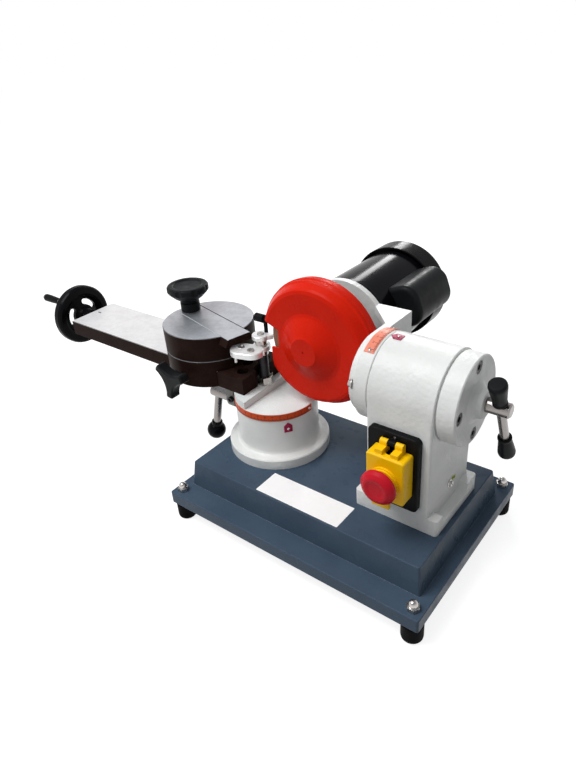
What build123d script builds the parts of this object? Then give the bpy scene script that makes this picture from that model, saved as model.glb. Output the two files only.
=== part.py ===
from build123d import *
from math import atan2, cos, degrees, hypot, radians, sin, sqrt
import os

# Lengths in mm, +Z up. The design frame has its floor at FLOOR_Z and the middle of the base near x = y = 0.

# Clearances
RUN_FIT = 0.06
LOOSE_FIT = 0.1
SLIDE_GAP = 0.4
SKIN_GAP = 0.3
SEAT_GAP = 0.05

# Fasteners
BOLT_R = 4.0
BOLT_HEAD_R = 6.5
BOLT_HEAD_H = 6.0
BOLT_GRIP = 10.0
SMALL_SCREW_R = 2.5
SMALL_HEAD_R = 4.25
SMALL_HEAD_H = 4.0
SMALL_GRIP = 11.0

# Levels of the base and of the swivel side
FLOOR_Z = 5.0
FLANGE_BOTTOM = 31.0
FLANGE_TOP = 48.0
PAN_TOP = 84.0
COLUMN_H = 66.0
TURN_T = 10.0
PLATFORM_T = 10.0
ARM_T = 22.4
FEED_H = 11.0
CARRIAGE_ROOF_T = 15.2
TABLE_T = 33.6
COLUMN_TOP = PAN_TOP + COLUMN_H
TURN_TOP = COLUMN_TOP + TURN_T
PLATFORM_TOP = TURN_TOP + PLATFORM_T
ARM_TOP = PLATFORM_TOP + ARM_T
FEED_Z = PLATFORM_TOP + FEED_H
CARRIAGE_BOTTOM = PLATFORM_TOP - SLIDE_GAP
CHANNEL_ROOF = ARM_TOP + SLIDE_GAP
CARRIAGE_TOP = CHANNEL_ROOF + CARRIAGE_ROOF_T
TABLE_TOP = CARRIAGE_TOP + TABLE_T

# Guard, wheel and spindle
SPINDLE_X = -35.0
GUARD_BAND_R = 80.0
GUARD_SLOPE = 7.0
GUARD_FACE_R = GUARD_BAND_R - GUARD_SLOPE
GUARD_BEAD = 1.2
GUARD_BACK_Y = 26.0
GUARD_T = 3.0
GUARD_HUB_Y = -14.0
GUARD_HUB_R = 18.4
GUARD_CONE_R = 44.0
GUARD_LIFT = 5.0
GUARD_GAP = 2.0
NOTCH_X = -48.0
NOTCH_TOP = 12.8
NOTCH_RISE = 25.4
NOTCH_FLOOR = -13.0
NOTCH_EDGE = -60.0
SPINDLE_Z = TURN_TOP + GUARD_LIFT + GUARD_BAND_R
WHEEL_R = 62.5
WHEEL_BORE_R = 10.0
WHEEL_Y0 = 6.0
WHEEL_Y1 = 16.0
WHEEL_FLANGE_R = 25.0
WHEEL_NUT_AF = 22.0
SHAFT_R = 8.0

# Swivel column and turntable
SWIVEL_REACH = 65.6
SWIVEL_X = SPINDLE_X - SWIVEL_REACH
SWIVEL_Y = 6.2
COLUMN_FLANGE_R = 68.0
COLUMN_FLANGE_T = 14.0
COLUMN_R = 54.5
COLUMN_ROOF = 12.0
COLUMN_HOLLOW_R = 38.0
COLUMN_BOLT_PITCH_R = 59.0
TURN_LIP = 0.5
TURN_R = COLUMN_R + TURN_LIP
SPIGOT_R = 12.0
PLATFORM_EDGE = 7.4
PLATFORM_EDGE_X = SWIVEL_X - PLATFORM_EDGE
SCALE_T = 0.6
TAG_W = 11.0
TAG_H = 14.0
TAG_T = 0.9
SWIVEL_TAG_ANGLE = -36.5
TILT_TAG_LEAN = -2.0

# Arm and feed screw
ARM_L = 366.0
ARM_HALF_W = 41.0
ARM_NEAR = 19.4
ARM_X1 = SWIVEL_X - ARM_NEAR
ARM_X0 = ARM_X1 - ARM_L
ARM_END_WALL = 16.0
CHANNEL_STOP = 121.0
CHANNEL_X0 = ARM_X0 + ARM_END_WALL
CHANNEL_X1 = ARM_X1 - CHANNEL_STOP
CHANNEL_HALF_W = 13.0
CHANNEL_ROOF_T = 3.4
CHANNEL_TOP = ARM_TOP - CHANNEL_ROOF_T
SCREW_R = 5.0
HANDWHEEL_R = 48.5
HANDWHEEL_RIM = 17.0
HANDWHEEL_HUB_L = 26.0
HANDWHEEL_W = 18.0
HANDWHEEL_X1 = ARM_X0 - HANDWHEEL_HUB_L
HANDWHEEL_X0 = HANDWHEEL_X1 - HANDWHEEL_W
WINDOW_R = 22.5
WINDOW_W = 9.0
WINDOW_ARC = 50.0
WINDOW_TURN = 50.0
GRIP_R = 6.0
GRIP_L = 40.0
GRIP_END = HANDWHEEL_X0 - GRIP_L
PIN_R = 3.0
PIN_HEAD_R = 4.6
PIN_HEAD_T = 2.7
PIN_END = GRIP_END - SKIN_GAP - PIN_HEAD_T
CRANK_R = 40.5
CRANK_ANGLE = 131.8
ARM_SCREW_R = 4.0
ARM_SCREW_HEAD_R = 6.5
ARM_SCREW_HEAD_H = 8.0
ARM_SCREW_LAND = 9.0
ARM_SCREW_SEAT = PLATFORM_TOP + ARM_SCREW_LAND
ARM_SCREW_SPOTS = ((-35.4, -21.7), (-35.4, 21.7), (-46.4, 0.0))

# Carriage, blade table and clamp strip
PUCK_REACH = 110.8
PUCK_X = SWIVEL_X - PUCK_REACH
PUCK_R = 62.0
CHEEK_IN = ARM_HALF_W + SLIDE_GAP
NUT_PLATE_T = 4.0
NUT_PLATE_L = 28.0
NUT_PLATE_LAP = 10.6
NUT_PLATE_HALF_W = CHEEK_IN + NUT_PLATE_LAP
NUT_SIDE_GAP = 0.6
NUT_HALF_W = CHANNEL_HALF_W - NUT_SIDE_GAP
NUT_REACH = 56.6
NUT_L = 18.0
NUT_X0 = PUCK_X - NUT_REACH
NUT_X1 = NUT_X0 + NUT_L
STRIP_T = 10.0
STRIP_TOP_W = 33.6
STRIP_FLARE = 5.0
STRIP_ANGLE = -14.0
STRIP_BACK = -59.0
STRIP_FRONT = 75.4
STRIP_EDGE = 0.6
KNOB_AT = -46.0
PIVOT_R = 15.0
PIVOT_SCREW_R = 6.0
PIVOT_HEAD_R = 9.5
PIVOT_FLOOR_T = 6.2
PIVOT_FLOOR = CHANNEL_ROOF + PIVOT_FLOOR_T
STUD_R = 5.0
STAR_R = 28.8
STAR_H = 38.0
STAR_STEM_R = 13.5
STAR_TOP = TABLE_TOP + STAR_H
WING_RISE = 4.0
WING_Z = FEED_Z + WING_RISE
WING_R = 27.0
WING_WAIST = 11.0
WING_BITE_R = 30.0
WING_T = 14.0
WING_NECK = 10.2
WING_Y1 = SWIVEL_Y - PUCK_R - WING_NECK
WING_Y0 = WING_Y1 - WING_T
WING_STUD_R = 4.0

# Tooth stop
POST_REACH = 17.4
POST_X = SWIVEL_X - POST_REACH
POST_R = 7.0
POST_SHOULDER = 1.0
POST_FOOT_R = POST_R - POST_SHOULDER
POST_PIN_R = 4.5
STOP_NUT_AF = 19.0
STOP_NUT_H = 11.0
SLEEVE_R = POST_R + POST_SHOULDER
FINGER_T = 5.6
FINGER_Z1 = TABLE_TOP
SLEEVE_Z1 = FINGER_Z1 - FINGER_T
STOP_PLATE_T = 7.5
STOP_PLATE_DROP = 3.6
STOP_PLATE_Z1 = TABLE_TOP - STRIP_T - STOP_PLATE_DROP
STOP_PLATE_Z0 = STOP_PLATE_Z1 - STOP_PLATE_T
SLEEVE_DROP = 7.5
SLEEVE_Z0 = STOP_PLATE_Z0 - SLEEVE_DROP
OVAL_L = 45.0
OVAL_W = 30.0
OVAL_TURN = 16.0
OVAL_SIDE = 6.5
OVAL_REACH = 21.5
OVAL_X = POST_X - OVAL_SIDE
OVAL_Y = SWIVEL_Y - OVAL_REACH
STOP_PIN_R = 2.0
STOP_PIN_L = 13.0
FINGER_R = 11.5
FINGER_L = 16.3
FINGER_TIP_W = 5.0
FINGER_TURN = 25.5
UPRIGHT_DX = 2.8
UPRIGHT_DY = 8.3
UPRIGHT_R = 2.6
KNURL_R = 5.5
KNURL_L = 15.0
KNURL_NECK = 1.0
UPRIGHT_H = 18.0
KNURL_Z = FINGER_Z1 + UPRIGHT_H

# Swivel lock
LOCK_DROP = 24.0
LOCK_Z = COLUMN_TOP - LOCK_DROP
LOCK_SCREW_R = 5.0
LOCK_HUB_R = 8.2
LOCK_REACH = 121.4
LEVER_AT = 110.2
BALL_REACH = 128.0
BALL_DROP = 72.6
LOCK_X0 = SWIVEL_X - LOCK_REACH
LOCK_HUB_X = SWIVEL_X - LEVER_AT
BALL_X = SWIVEL_X - BALL_REACH
BALL_Z = LOCK_Z - BALL_DROP
BALL_R = 14.0
BALL_NECK_R = 8.0
LEVER_R = 5.7
BRACKET_FAR = 83.4
BRACKET_NEAR = 56.4
BRACKET_X0 = SWIVEL_X - BRACKET_FAR
BRACKET_X1 = SWIVEL_X - BRACKET_NEAR
BRACKET_WALL_T = 14.0
BRACKET_PLATE_T = 8.0
BRACKET_HALF_W = 12.0
BRACKET_SCREW_SPOTS = ((-62.2, -6.8), (-62.2, 6.8))

# Head column and tilt axis
TILT_Y = 4.1
TILT_DROP = 8.0
TILT_Z = SPINDLE_Z - TILT_DROP
HOUSING_R = 51.3
BRACKET_WALL = 7.6
DISC_L = 17.4
WALL_X0 = SPINDLE_X + GUARD_BAND_R + GUARD_GAP
DISC_X0 = WALL_X0 + BRACKET_WALL
DISC_X1 = DISC_X0 + DISC_L
HOUSING_X0 = DISC_X1 + SLIDE_GAP
HEAD_L = 76.6
HEAD_X1 = HOUSING_X0 + HEAD_L
HOUSING_LIP = 0.5
HEAD_FOOT_LEFT = 15.9
HEAD_FOOT_RIGHT = 12.0
HEAD_FOOT_H = 21.0
HOUSING_X1 = HEAD_X1 + HOUSING_LIP
HEAD_FOOT_X0 = HOUSING_X0 - HEAD_FOOT_LEFT
HEAD_FOOT_X1 = HEAD_X1 + HEAD_FOOT_RIGHT
HEAD_FOOT_TOP = PAN_TOP + HEAD_FOOT_H
TROUGH_H = 10.5
LUG_W = 14.0
HEAD_WALL = 8.0
HEAD_HOLLOW_W = 70.0
FACE_Y = TILT_Y - HOUSING_R
BACK_Y = TILT_Y + HOUSING_R
INLET_AT = 32.6
INLET_H = 41.0
INLET_X = HOUSING_X0 + INLET_AT
INLET_Z = PAN_TOP + INLET_H
INLET_R = 12.0
INLET_BORE_R = 6.5
INLET_L = 7.0
TILT_SHAFT_R = 15.0
CAP_GROOVE_W = 1.5
CAP_L = 22.0
CAP_STEP = 1.7
CAP_X0 = HOUSING_X1 + CAP_GROOVE_W
CAP_X1 = HOUSING_X1 + CAP_L
CAP_R = HOUSING_R - CAP_STEP
CAP_GROOVE = 2.2
CAP_BOSS_L = 11.5
CAP_BOSS_X = CAP_X1 + CAP_BOSS_L
CAP_BOSS_R = 15.5
CAP_SCREW_IN = 10.2
CAP_SCREW_SINK = 6.5
CAP_SCREW_PITCH_R = CAP_R - CAP_SCREW_IN
CAP_SCREW_SEAT = CAP_X1 - CAP_SCREW_SINK
CAP_SCREW_GRIP = 12.0
LOCK_SHAFT_R = 8.0
TOMMY_REACH = 14.0
LOCK_SHAFT_TIP = 11.0
LOCK_SHAFT_IN = 24.0
TOMMY_X = CAP_BOSS_X + TOMMY_REACH
LOCK_SHAFT_END = TOMMY_X + LOCK_SHAFT_TIP
LOCK_SHAFT_X0 = HOUSING_X1 - LOCK_SHAFT_IN
TOMMY_R = 4.9
TOMMY_TILT = 25.5
TOMMY_GRIP_R = 9.6
TOMMY_GRIP_L = 33.5
TOMMY_LOW = -53.5

# Base pan and feet
BASE_W = 262.0
LEDGE_X = 18.0
LEDGE_Y = 34.0
PAN_LEFT = 66.4
PAN_RIGHT = 6.0
PAN_X0 = SWIVEL_X - PAN_LEFT
PAN_X1 = HEAD_FOOT_X1 + PAN_RIGHT
PAN_W = BASE_W - 2 * LEDGE_Y
BASE_X0 = PAN_X0 - LEDGE_X
BASE_X1 = PAN_X1 + LEDGE_X
PAN_DRAFT = 4.8
BASE_WALL = 5.0
BASE_CORNER_R = 3.0
BASE_EDGE_R = 1.2
FOOT_R = 12.6
FOOT_BOSS = 2.0
FOOT_STUD_R = 4.0
DOME_AF = 13.0
DOME_HEX_H = 5.5
DOME_R = 5.4

# Motor
MOTOR_PLATE_Y0 = 71.0
MOTOR_PLATE_T = 8.0
MOTOR_PLATE_Y1 = MOTOR_PLATE_Y0 + MOTOR_PLATE_T
MOTOR_L = 126.0
MOTOR_Y1 = MOTOR_PLATE_Y1 + MOTOR_L
MOTOR_R = 58.3
MOTOR_RING_STEP = 1.7
MOTOR_PLATE_STEP = 3.0
MOTOR_RING_R = MOTOR_R + MOTOR_RING_STEP
MOTOR_PLATE_R = MOTOR_R + MOTOR_PLATE_STEP
MOTOR_WALL = 5.0
MOTOR_END_T = 12.0
FAN_COVER_STEP = 5.7
FAN_COVER_R = MOTOR_R + FAN_COVER_STEP
FAN_COVER_T = 2.2
FAN_SKIRT = 7.0
FAN_SEAT_T = 1.0
FAN_COVER_L = 29.0
FAN_ROOM = 12.0
FAN_COVER_Y0 = MOTOR_Y1 + FAN_SEAT_T
FAN_COVER_Y1 = FAN_COVER_Y0 + FAN_COVER_L
FAN_R = FAN_COVER_R - FAN_ROOM
FAN_HUB_R = 18.0
FAN_BLADE_H = 14.0
FAN_BLADE_T = 2.4
FAN_DISC_T = 2.0
ROTOR_R = 31.0
ROTOR_GAP = 0.5
CORE_FRONT = 33.0
CORE_REAR = 29.0
CORE_Y0 = MOTOR_PLATE_Y1 + CORE_FRONT
CORE_Y1 = MOTOR_Y1 - CORE_REAR
WINDING_L = 10.0
BOX_ANGLE = 20.0
BOX_FRONT = 33.0
BOX_H = 30.7
BOX_ROOT = 12.3
BOX_Y0 = MOTOR_PLATE_Y1 + BOX_FRONT
BOX_Y1 = MOTOR_Y1 - FAN_SKIRT - SLIDE_GAP
BOX_OUT_R = MOTOR_R + BOX_H
BOX_IN_R = MOTOR_R - BOX_ROOT
BOX_W = 54.0
BOX_EDGE_R = 6.0

# Switch
PLATE_AT = 6.2
PLATE_W = 61.0
PLATE_LIFT = 29.0
PLATE_H = 95.5
PLATE_X0 = HOUSING_X0 + PLATE_AT
PLATE_X1 = PLATE_X0 + PLATE_W
PLATE_Z0 = PAN_TOP + PLATE_LIFT
PLATE_Z1 = PLATE_Z0 + PLATE_H
PLATE_T = 7.4
PLATE_FRONT = FACE_Y - PLATE_T
SWITCH_LEFT = 14.0
SWITCH_RIGHT = 10.0
SWITCH_LOW = 6.0
SWITCH_HIGH = 8.5
SWITCH_X0 = PLATE_X0 + SWITCH_LEFT
SWITCH_X1 = PLATE_X1 - SWITCH_RIGHT
SWITCH_Z0 = PLATE_Z0 + SWITCH_LOW
SWITCH_Z1 = PLATE_Z1 - SWITCH_HIGH
SWITCH_DEPTH = 42.0
SWITCH_ROOM = 5.0
HEAD_ROOF_Z = SWITCH_Z1 + SWITCH_ROOM
FLAP_LEFT = 9.8
FLAP_W = 45.3
FLAP_LOW = 21.1
FLAP_H = 56.4
FLAP_X0 = PLATE_X0 + FLAP_LEFT
FLAP_X1 = FLAP_X0 + FLAP_W
FLAP_Z0 = PLATE_Z0 + FLAP_LOW
FLAP_Z1 = FLAP_Z0 + FLAP_H
FLAP_D = 20.1
FLAP_Y = PLATE_FRONT - FLAP_D
FLAP_BACK = PLATE_FRONT - SLIDE_GAP
FLAP_T = 2.5
FLAP_MID = (FLAP_X0 + FLAP_X1) / 2
TAB_W = 21.2
TAB_SIDE = 4.8
TAB_DROP = 11.2
KNUCKLE_R = 3.6
HINGE_Y = PLATE_FRONT - KNUCKLE_R - SLIDE_GAP
HINGE_RISE = 8.0
HINGE_Z = FLAP_Z1 + HINGE_RISE
HINGE_PIN_R = 1.5
HINGE_LUG_W = 9.0
STRAP_W = 8.8
STRAP_H = 5.0
MUSHROOM_AT = 22.8
MUSHROOM_LIFT = 26.6
MUSHROOM_X = FLAP_X0 + MUSHROOM_AT
MUSHROOM_Z = FLAP_Z0 + MUSHROOM_LIFT
MUSHROOM_R = 20.6
MUSHROOM_T = 9.5
MUSHROOM_GAP = 6.0
COLLAR_R = 15.2
COLLAR_STEP = 1.5
COLLAR_FOOT = 2.0
COLLAR_L = 4.2
COLLAR_Y = FLAP_Y - COLLAR_L
MUSHROOM_Y = COLLAR_Y - MUSHROOM_GAP - MUSHROOM_T
STEM_R = 6.0
STEM_IN = 8.0
STEM_END = FLAP_Y + STEM_IN
BUTTON_W = 13.0
BUTTON_H = 20.0
BUTTON_LIFT = 47.0
BUTTON_Z = PLATE_Z0 + BUTTON_LIFT
BUTTON_OUT = 3.5
START_AT = 24.4
BUTTON_PITCH = 17.0
START_X = PLATE_X0 + START_AT
STOP_X = START_X + BUTTON_PITCH

# Move from the design frame to the bottom centre of the whole outline
SHIFT = (
    -(PIN_END + LOCK_SHAFT_END) / 2,
    -(FAN_COVER_Y1 - BASE_W / 2) / 2,
    -FLOOR_Z,
)


def box(x0, x1, y0, y1, z0, z1):
    return Pos((x0 + x1) / 2, (y0 + y1) / 2, (z0 + z1) / 2) * Box(x1 - x0, y1 - y0, z1 - z0)


def rod_x(r, x0, x1, y, z):
    return Pos((x0 + x1) / 2, y, z) * Rot(0, 90, 0) * Cylinder(r, x1 - x0)


def rod_y(r, y0, y1, x, z):
    return Pos(x, (y0 + y1) / 2, z) * Rot(90, 0, 0) * Cylinder(r, y1 - y0)


def rod_z(r, z0, z1, x, y):
    return Pos(x, y, (z0 + z1) / 2) * Cylinder(r, z1 - z0)


def hex_z(af, z0, z1, x, y):
    return Pos(x, y, z0) * extrude(RegularPolygon(af / sqrt(3), 6), z1 - z0)


def turned_z(points, x, y):
    profile = Plane.XZ * make_face(Polyline(*points, close=True))
    return Pos(x, y, 0) * revolve(profile, Axis.Z)


def turned_x(points, y, z):
    # points are (x, r)
    profile = make_face(Polyline(*points, close=True))
    return Pos(0, y, z) * revolve(profile, Axis.X)


def turned_y(points, x, z):
    # points are (r, y)
    profile = make_face(Polyline(*points, close=True))
    return Pos(x, 0, z) * revolve(profile, Axis.Y)


def plate_y(points, y0, y1):
    # points are (x, z)
    face = Plane.XZ * make_face(Polyline(*points, close=True))
    return Pos(0, y0, 0) * extrude(face, y1 - y0, dir=(0, 1, 0))


def plate_x(points, x0, x1):
    # points are (y, z)
    face = Plane.YZ * make_face(Polyline(*points, close=True))
    return Pos(x0, 0, 0) * extrude(face, x1 - x0, dir=(1, 0, 0))


def plate_z(points, z0, z1):
    face = make_face(Polyline(*points, close=True))
    return Pos(0, 0, z0) * extrude(face, z1 - z0)


def slab(x0, x1, half_w, r, z0, z1):
    face = RectangleRounded(x1 - x0, 2 * half_w, r)
    return Pos((x0 + x1) / 2, 0, z0) * extrude(face, z1 - z0)


def cap_screw_down(x, y, seat, r, length, head_r, head_h):
    head = rod_z(head_r, seat, seat + head_h, x, y)
    head -= hex_z(head_r * 0.95, seat + head_h / 2, seat + head_h, x, y)
    return head + rod_z(r, seat - length, seat, x, y)


def cap_screw_up(x, y, seat, r, length, head_r, head_h):
    head = rod_z(head_r, seat - head_h, seat, x, y)
    head -= hex_z(head_r * 0.95, seat - head_h, seat - head_h / 2, x, y)
    return head + rod_z(r, seat, seat + length, x, y)


def swivel_spots(offsets):
    return [(SWIVEL_X + dx, SWIVEL_Y + dy) for dx, dy in offsets]


def foot_spots():
    xs = (BASE_X0 + FOOT_R, BASE_X1 - FOOT_R)
    ys = (FOOT_R - BASE_W / 2, BASE_W / 2 - FOOT_R)
    return [(x, y) for x in xs for y in ys]


def column_bolt_spots():
    spots = []
    for angle in (45, 135, 225, 315):
        a = radians(angle)
        spots.append((SWIVEL_X + COLUMN_BOLT_PITCH_R * cos(a), SWIVEL_Y + COLUMN_BOLT_PITCH_R * sin(a)))
    return spots


def head_bolt_spots():
    xs = (HEAD_FOOT_X0 + 9.0, HEAD_X1 - HEAD_WALL / 2)
    ys = (FACE_Y + 5.0, BACK_Y - 5.0)
    return [(x, y) for x in xs for y in ys]


# Base
def base_pan():
    flange = slab(BASE_X0, BASE_X1, BASE_W / 2, BASE_CORNER_R, FLANGE_BOTTOM, FLANGE_TOP)
    flange = fillet(flange.faces().sort_by(Axis.Z)[-1].edges(), BASE_EDGE_R)
    mid = (PAN_X0 + PAN_X1) / 2
    low = RectangleRounded(PAN_X1 - PAN_X0 + 2 * PAN_DRAFT, PAN_W + 2 * PAN_DRAFT, BASE_CORNER_R)
    top = RectangleRounded(PAN_X1 - PAN_X0, PAN_W, BASE_CORNER_R)
    pan = loft([Pos(mid, 0, FLANGE_TOP - 1) * low, Pos(mid, 0, PAN_TOP) * top])
    pan = fillet(pan.faces().sort_by(Axis.Z)[-1].edges(), BASE_EDGE_R)
    body = flange + pan
    skirt = box(
        BASE_X0 + BASE_WALL, BASE_X1 - BASE_WALL, BASE_WALL - BASE_W / 2, BASE_W / 2 - BASE_WALL,
        FLANGE_BOTTOM - 1, FLANGE_TOP - BASE_WALL,
    )
    for x, y in foot_spots():
        skirt -= rod_z(FOOT_R + FOOT_BOSS, FLANGE_BOTTOM - 1, FLANGE_TOP, x, y)
    body -= skirt
    body -= slab(
        PAN_X0 + BASE_WALL, PAN_X1 - BASE_WALL, PAN_W / 2 - BASE_WALL, BASE_CORNER_R,
        FLANGE_BOTTOM - 1, PAN_TOP - BASE_WALL,
    )
    for x, y in foot_spots():
        body -= rod_z(FOOT_STUD_R + LOOSE_FIT, FLANGE_BOTTOM - 1, FLANGE_TOP + 1, x, y)
    for x, y in column_bolt_spots() + head_bolt_spots():
        body -= rod_z(BOLT_R + LOOSE_FIT, PAN_TOP - BASE_WALL - 1, PAN_TOP + 1, x, y)
    body -= rod_z(COLUMN_HOLLOW_R - 4, PAN_TOP - BASE_WALL - 1, PAN_TOP + 1, SWIVEL_X, SWIVEL_Y)
    return body


def rubber_feet():
    feet = []
    for x, y in foot_spots():
        pad = turned_z(
            (
                (0, FLOOR_Z), (FOOT_R - 4.5, FLOOR_Z), (FOOT_R - 2, FLOOR_Z + 0.8),
                (FOOT_R - 0.5, FLOOR_Z + 2.6),
                (FOOT_R, FLOOR_Z + 5), (FOOT_R, FLANGE_BOTTOM - 3), (FOOT_R - 1.5, FLANGE_BOTTOM),
                (0, FLANGE_BOTTOM),
            ),
            x, y,
        )
        feet.append(pad + rod_z(FOOT_STUD_R, FLANGE_BOTTOM - 1, FLANGE_TOP + DOME_HEX_H, x, y))
    return feet


def dome_nuts():
    nuts = []
    hex_top = FLANGE_TOP + DOME_HEX_H
    for x, y in foot_spots():
        nut = hex_z(DOME_AF, FLANGE_TOP, hex_top, x, y)
        nut += rod_z(DOME_R, hex_top, hex_top + 1.5, x, y)
        nut += Pos(x, y, hex_top + 1.5) * (Sphere(DOME_R) & Pos(0, 0, DOME_R) * Box(20, 20, 2 * DOME_R))
        nut -= rod_z(FOOT_STUD_R + SEAT_GAP, FLANGE_TOP - 1, hex_top + 0.4, x, y)
        nuts.append(nut)
    return nuts


def base_bolts():
    seat = PAN_TOP - BASE_WALL
    spots = column_bolt_spots() + head_bolt_spots()
    length = BASE_WALL + BOLT_GRIP
    return [cap_screw_up(x, y, seat, BOLT_R, length, BOLT_HEAD_R, BOLT_HEAD_H) for x, y in spots]


# Swivel side
def swivel_column():
    flange_top = PAN_TOP + COLUMN_FLANGE_T
    body = turned_z(
        (
            (0, PAN_TOP), (COLUMN_FLANGE_R, PAN_TOP), (COLUMN_FLANGE_R, flange_top - 1.5),
            (COLUMN_FLANGE_R - 1.5, flange_top), (COLUMN_R + 4, flange_top),
            (COLUMN_R + 1.2, flange_top + 1.2), (COLUMN_R, flange_top + 4),
            (COLUMN_R, COLUMN_TOP - 1), (COLUMN_R - 1, COLUMN_TOP), (0, COLUMN_TOP),
        ),
        SWIVEL_X, SWIVEL_Y,
    )
    body -= rod_z(COLUMN_HOLLOW_R, PAN_TOP - 1, COLUMN_TOP - COLUMN_ROOF, SWIVEL_X, SWIVEL_Y)
    body -= rod_z(SPIGOT_R + RUN_FIT, COLUMN_TOP - COLUMN_ROOF - 1, COLUMN_TOP + 1, SWIVEL_X, SWIVEL_Y)
    for x, y in column_bolt_spots():
        body -= rod_z(BOLT_R + LOOSE_FIT, PAN_TOP - 1, PAN_TOP + BOLT_GRIP + 1, x, y)
    return body


def tag_shape():
    # house outline, pointing along local +Y, middle of its foot at the origin
    return Polyline(
        (-TAG_W / 2, 0), (TAG_W / 2, 0), (TAG_W / 2, TAG_H - 5), (0, TAG_H),
        (-TAG_W / 2, TAG_H - 5), close=True
    )


def swivel_tag():
    angle = radians(SWIVEL_TAG_ANGLE)
    facing = Plane(
        origin=(SWIVEL_X, SWIVEL_Y, COLUMN_TOP - TAG_H - 4),
        x_dir=(-sin(angle), cos(angle), 0),
        z_dir=(cos(angle), sin(angle), 0),
    )
    z0 = COLUMN_TOP - TAG_H - 10
    ring = rod_z(COLUMN_R + SEAT_GAP + TAG_T, z0, COLUMN_TOP - 1, SWIVEL_X, SWIVEL_Y)
    ring -= rod_z(COLUMN_R + SEAT_GAP, z0 - 1, COLUMN_TOP, SWIVEL_X, SWIVEL_Y)
    return ring & extrude(facing * make_face(tag_shape()), COLUMN_R + 25)


def tilt_tag():
    lean = radians(TILT_TAG_LEAN)
    facing = Plane(
        origin=(HOUSING_X0 + TAG_H + 1, TILT_Y, TILT_Z),
        x_dir=(0, cos(lean), -sin(lean)),
        z_dir=(0, sin(lean), cos(lean)),
    )
    ring = rod_x(HOUSING_R + SEAT_GAP + TAG_T, HOUSING_X0, HOUSING_X1, TILT_Y, TILT_Z)
    ring -= rod_x(HOUSING_R + SEAT_GAP, HOUSING_X0 - 1, HOUSING_X1 + 1, TILT_Y, TILT_Z)
    return ring & extrude(facing * make_face(tag_shape()), HOUSING_R + 25)


def pointer_tags():
    return [swivel_tag(), tilt_tag()]


def turntable():
    body = rod_z(TURN_R, COLUMN_TOP, TURN_TOP, SWIVEL_X, SWIVEL_Y)
    moon = rod_z(TURN_R, TURN_TOP, PLATFORM_TOP, SWIVEL_X, SWIVEL_Y)
    moon -= box(
        PLATFORM_EDGE_X, SWIVEL_X + TURN_R + 1, SWIVEL_Y - TURN_R - 1, SWIVEL_Y + TURN_R + 1,
        TURN_TOP - 1, PLATFORM_TOP + 1,
    )
    body += moon
    foot = COLUMN_TOP - COLUMN_ROOF - SKIN_GAP
    body += rod_z(SPIGOT_R, foot, COLUMN_TOP, SWIVEL_X, SWIVEL_Y)
    body -= rod_z(BOLT_R + SEAT_GAP, foot - 1, foot + COLUMN_ROOF + 5, SWIVEL_X, SWIVEL_Y)
    for x, y in swivel_spots(ARM_SCREW_SPOTS):
        body -= rod_z(ARM_SCREW_R + SEAT_GAP, PLATFORM_TOP - 11, PLATFORM_TOP + 1, x, y)
    body -= rod_z(POST_FOOT_R + SEAT_GAP, PLATFORM_TOP - 17, PLATFORM_TOP + 1, POST_X, SWIVEL_Y)
    return body


def band_sector(r0, r1, z0, z1, a0, a1):
    ring = Cylinder(r1, z1 - z0) - Cylinder(r0, z1 - z0 + 2)
    reach = 2 * r1
    steps = [a0 + (a1 - a0) * i / 8 for i in range(9)]
    fan = [(0, 0)] + [(reach * cos(radians(a)), reach * sin(radians(a))) for a in steps]
    wedge = Pos(0, 0, -(z1 - z0)) * extrude(make_face(Polyline(*fan, close=True)), 2 * (z1 - z0))
    return ring & wedge


def swivel_scale():
    band = band_sector(TURN_R + SEAT_GAP, TURN_R + SCALE_T, COLUMN_TOP + 0.5, TURN_TOP - 0.5, -185, 3)
    return Pos(SWIVEL_X, SWIVEL_Y, (COLUMN_TOP + TURN_TOP) / 2) * band


def pivot_bolt():
    seat = COLUMN_TOP - COLUMN_ROOF - SKIN_GAP
    bolt = rod_z(BOLT_R, seat, seat + COLUMN_ROOF + 4, SWIVEL_X, SWIVEL_Y)
    bolt += rod_z(SPIGOT_R + 8, seat - 3, seat, SWIVEL_X, SWIVEL_Y)
    bolt += hex_z(2 * BOLT_HEAD_R, seat - 3 - BOLT_HEAD_H, seat - 3, SWIVEL_X, SWIVEL_Y)
    return bolt


# Arm
def arm_bar():
    body = box(ARM_X0, ARM_X1, SWIVEL_Y - ARM_HALF_W, SWIVEL_Y + ARM_HALF_W, PLATFORM_TOP, ARM_TOP)
    body = chamfer(body.edges().filter_by(Axis.X).group_by(Axis.Z)[-1], 0.8)
    body -= box(
        CHANNEL_X0, CHANNEL_X1, SWIVEL_Y - CHANNEL_HALF_W, SWIVEL_Y + CHANNEL_HALF_W, PLATFORM_TOP - 1,
        CHANNEL_TOP
    )
    body -= rod_x(SCREW_R + RUN_FIT, ARM_X0 - 1, CHANNEL_X0 + 1, SWIVEL_Y, FEED_Z)
    body -= rod_x(SCREW_R + RUN_FIT, CHANNEL_X1 - 1, CHANNEL_X1 + 12, SWIVEL_Y, FEED_Z)
    body -= rod_z(STOP_NUT_AF / 2 + 4, PLATFORM_TOP - 1, ARM_TOP + 1, POST_X, SWIVEL_Y)
    for x, y in swivel_spots(ARM_SCREW_SPOTS):
        body -= rod_z(ARM_SCREW_R + LOOSE_FIT, PLATFORM_TOP - 1, ARM_TOP, x, y)
        body -= rod_z(ARM_SCREW_HEAD_R + 1.5, ARM_SCREW_SEAT, ARM_TOP + 1, x, y)
    for x, y in swivel_spots(BRACKET_SCREW_SPOTS):
        body -= rod_z(ARM_SCREW_R + SEAT_GAP, PLATFORM_TOP - 1, PLATFORM_TOP + 13, x, y)
    return body


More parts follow.
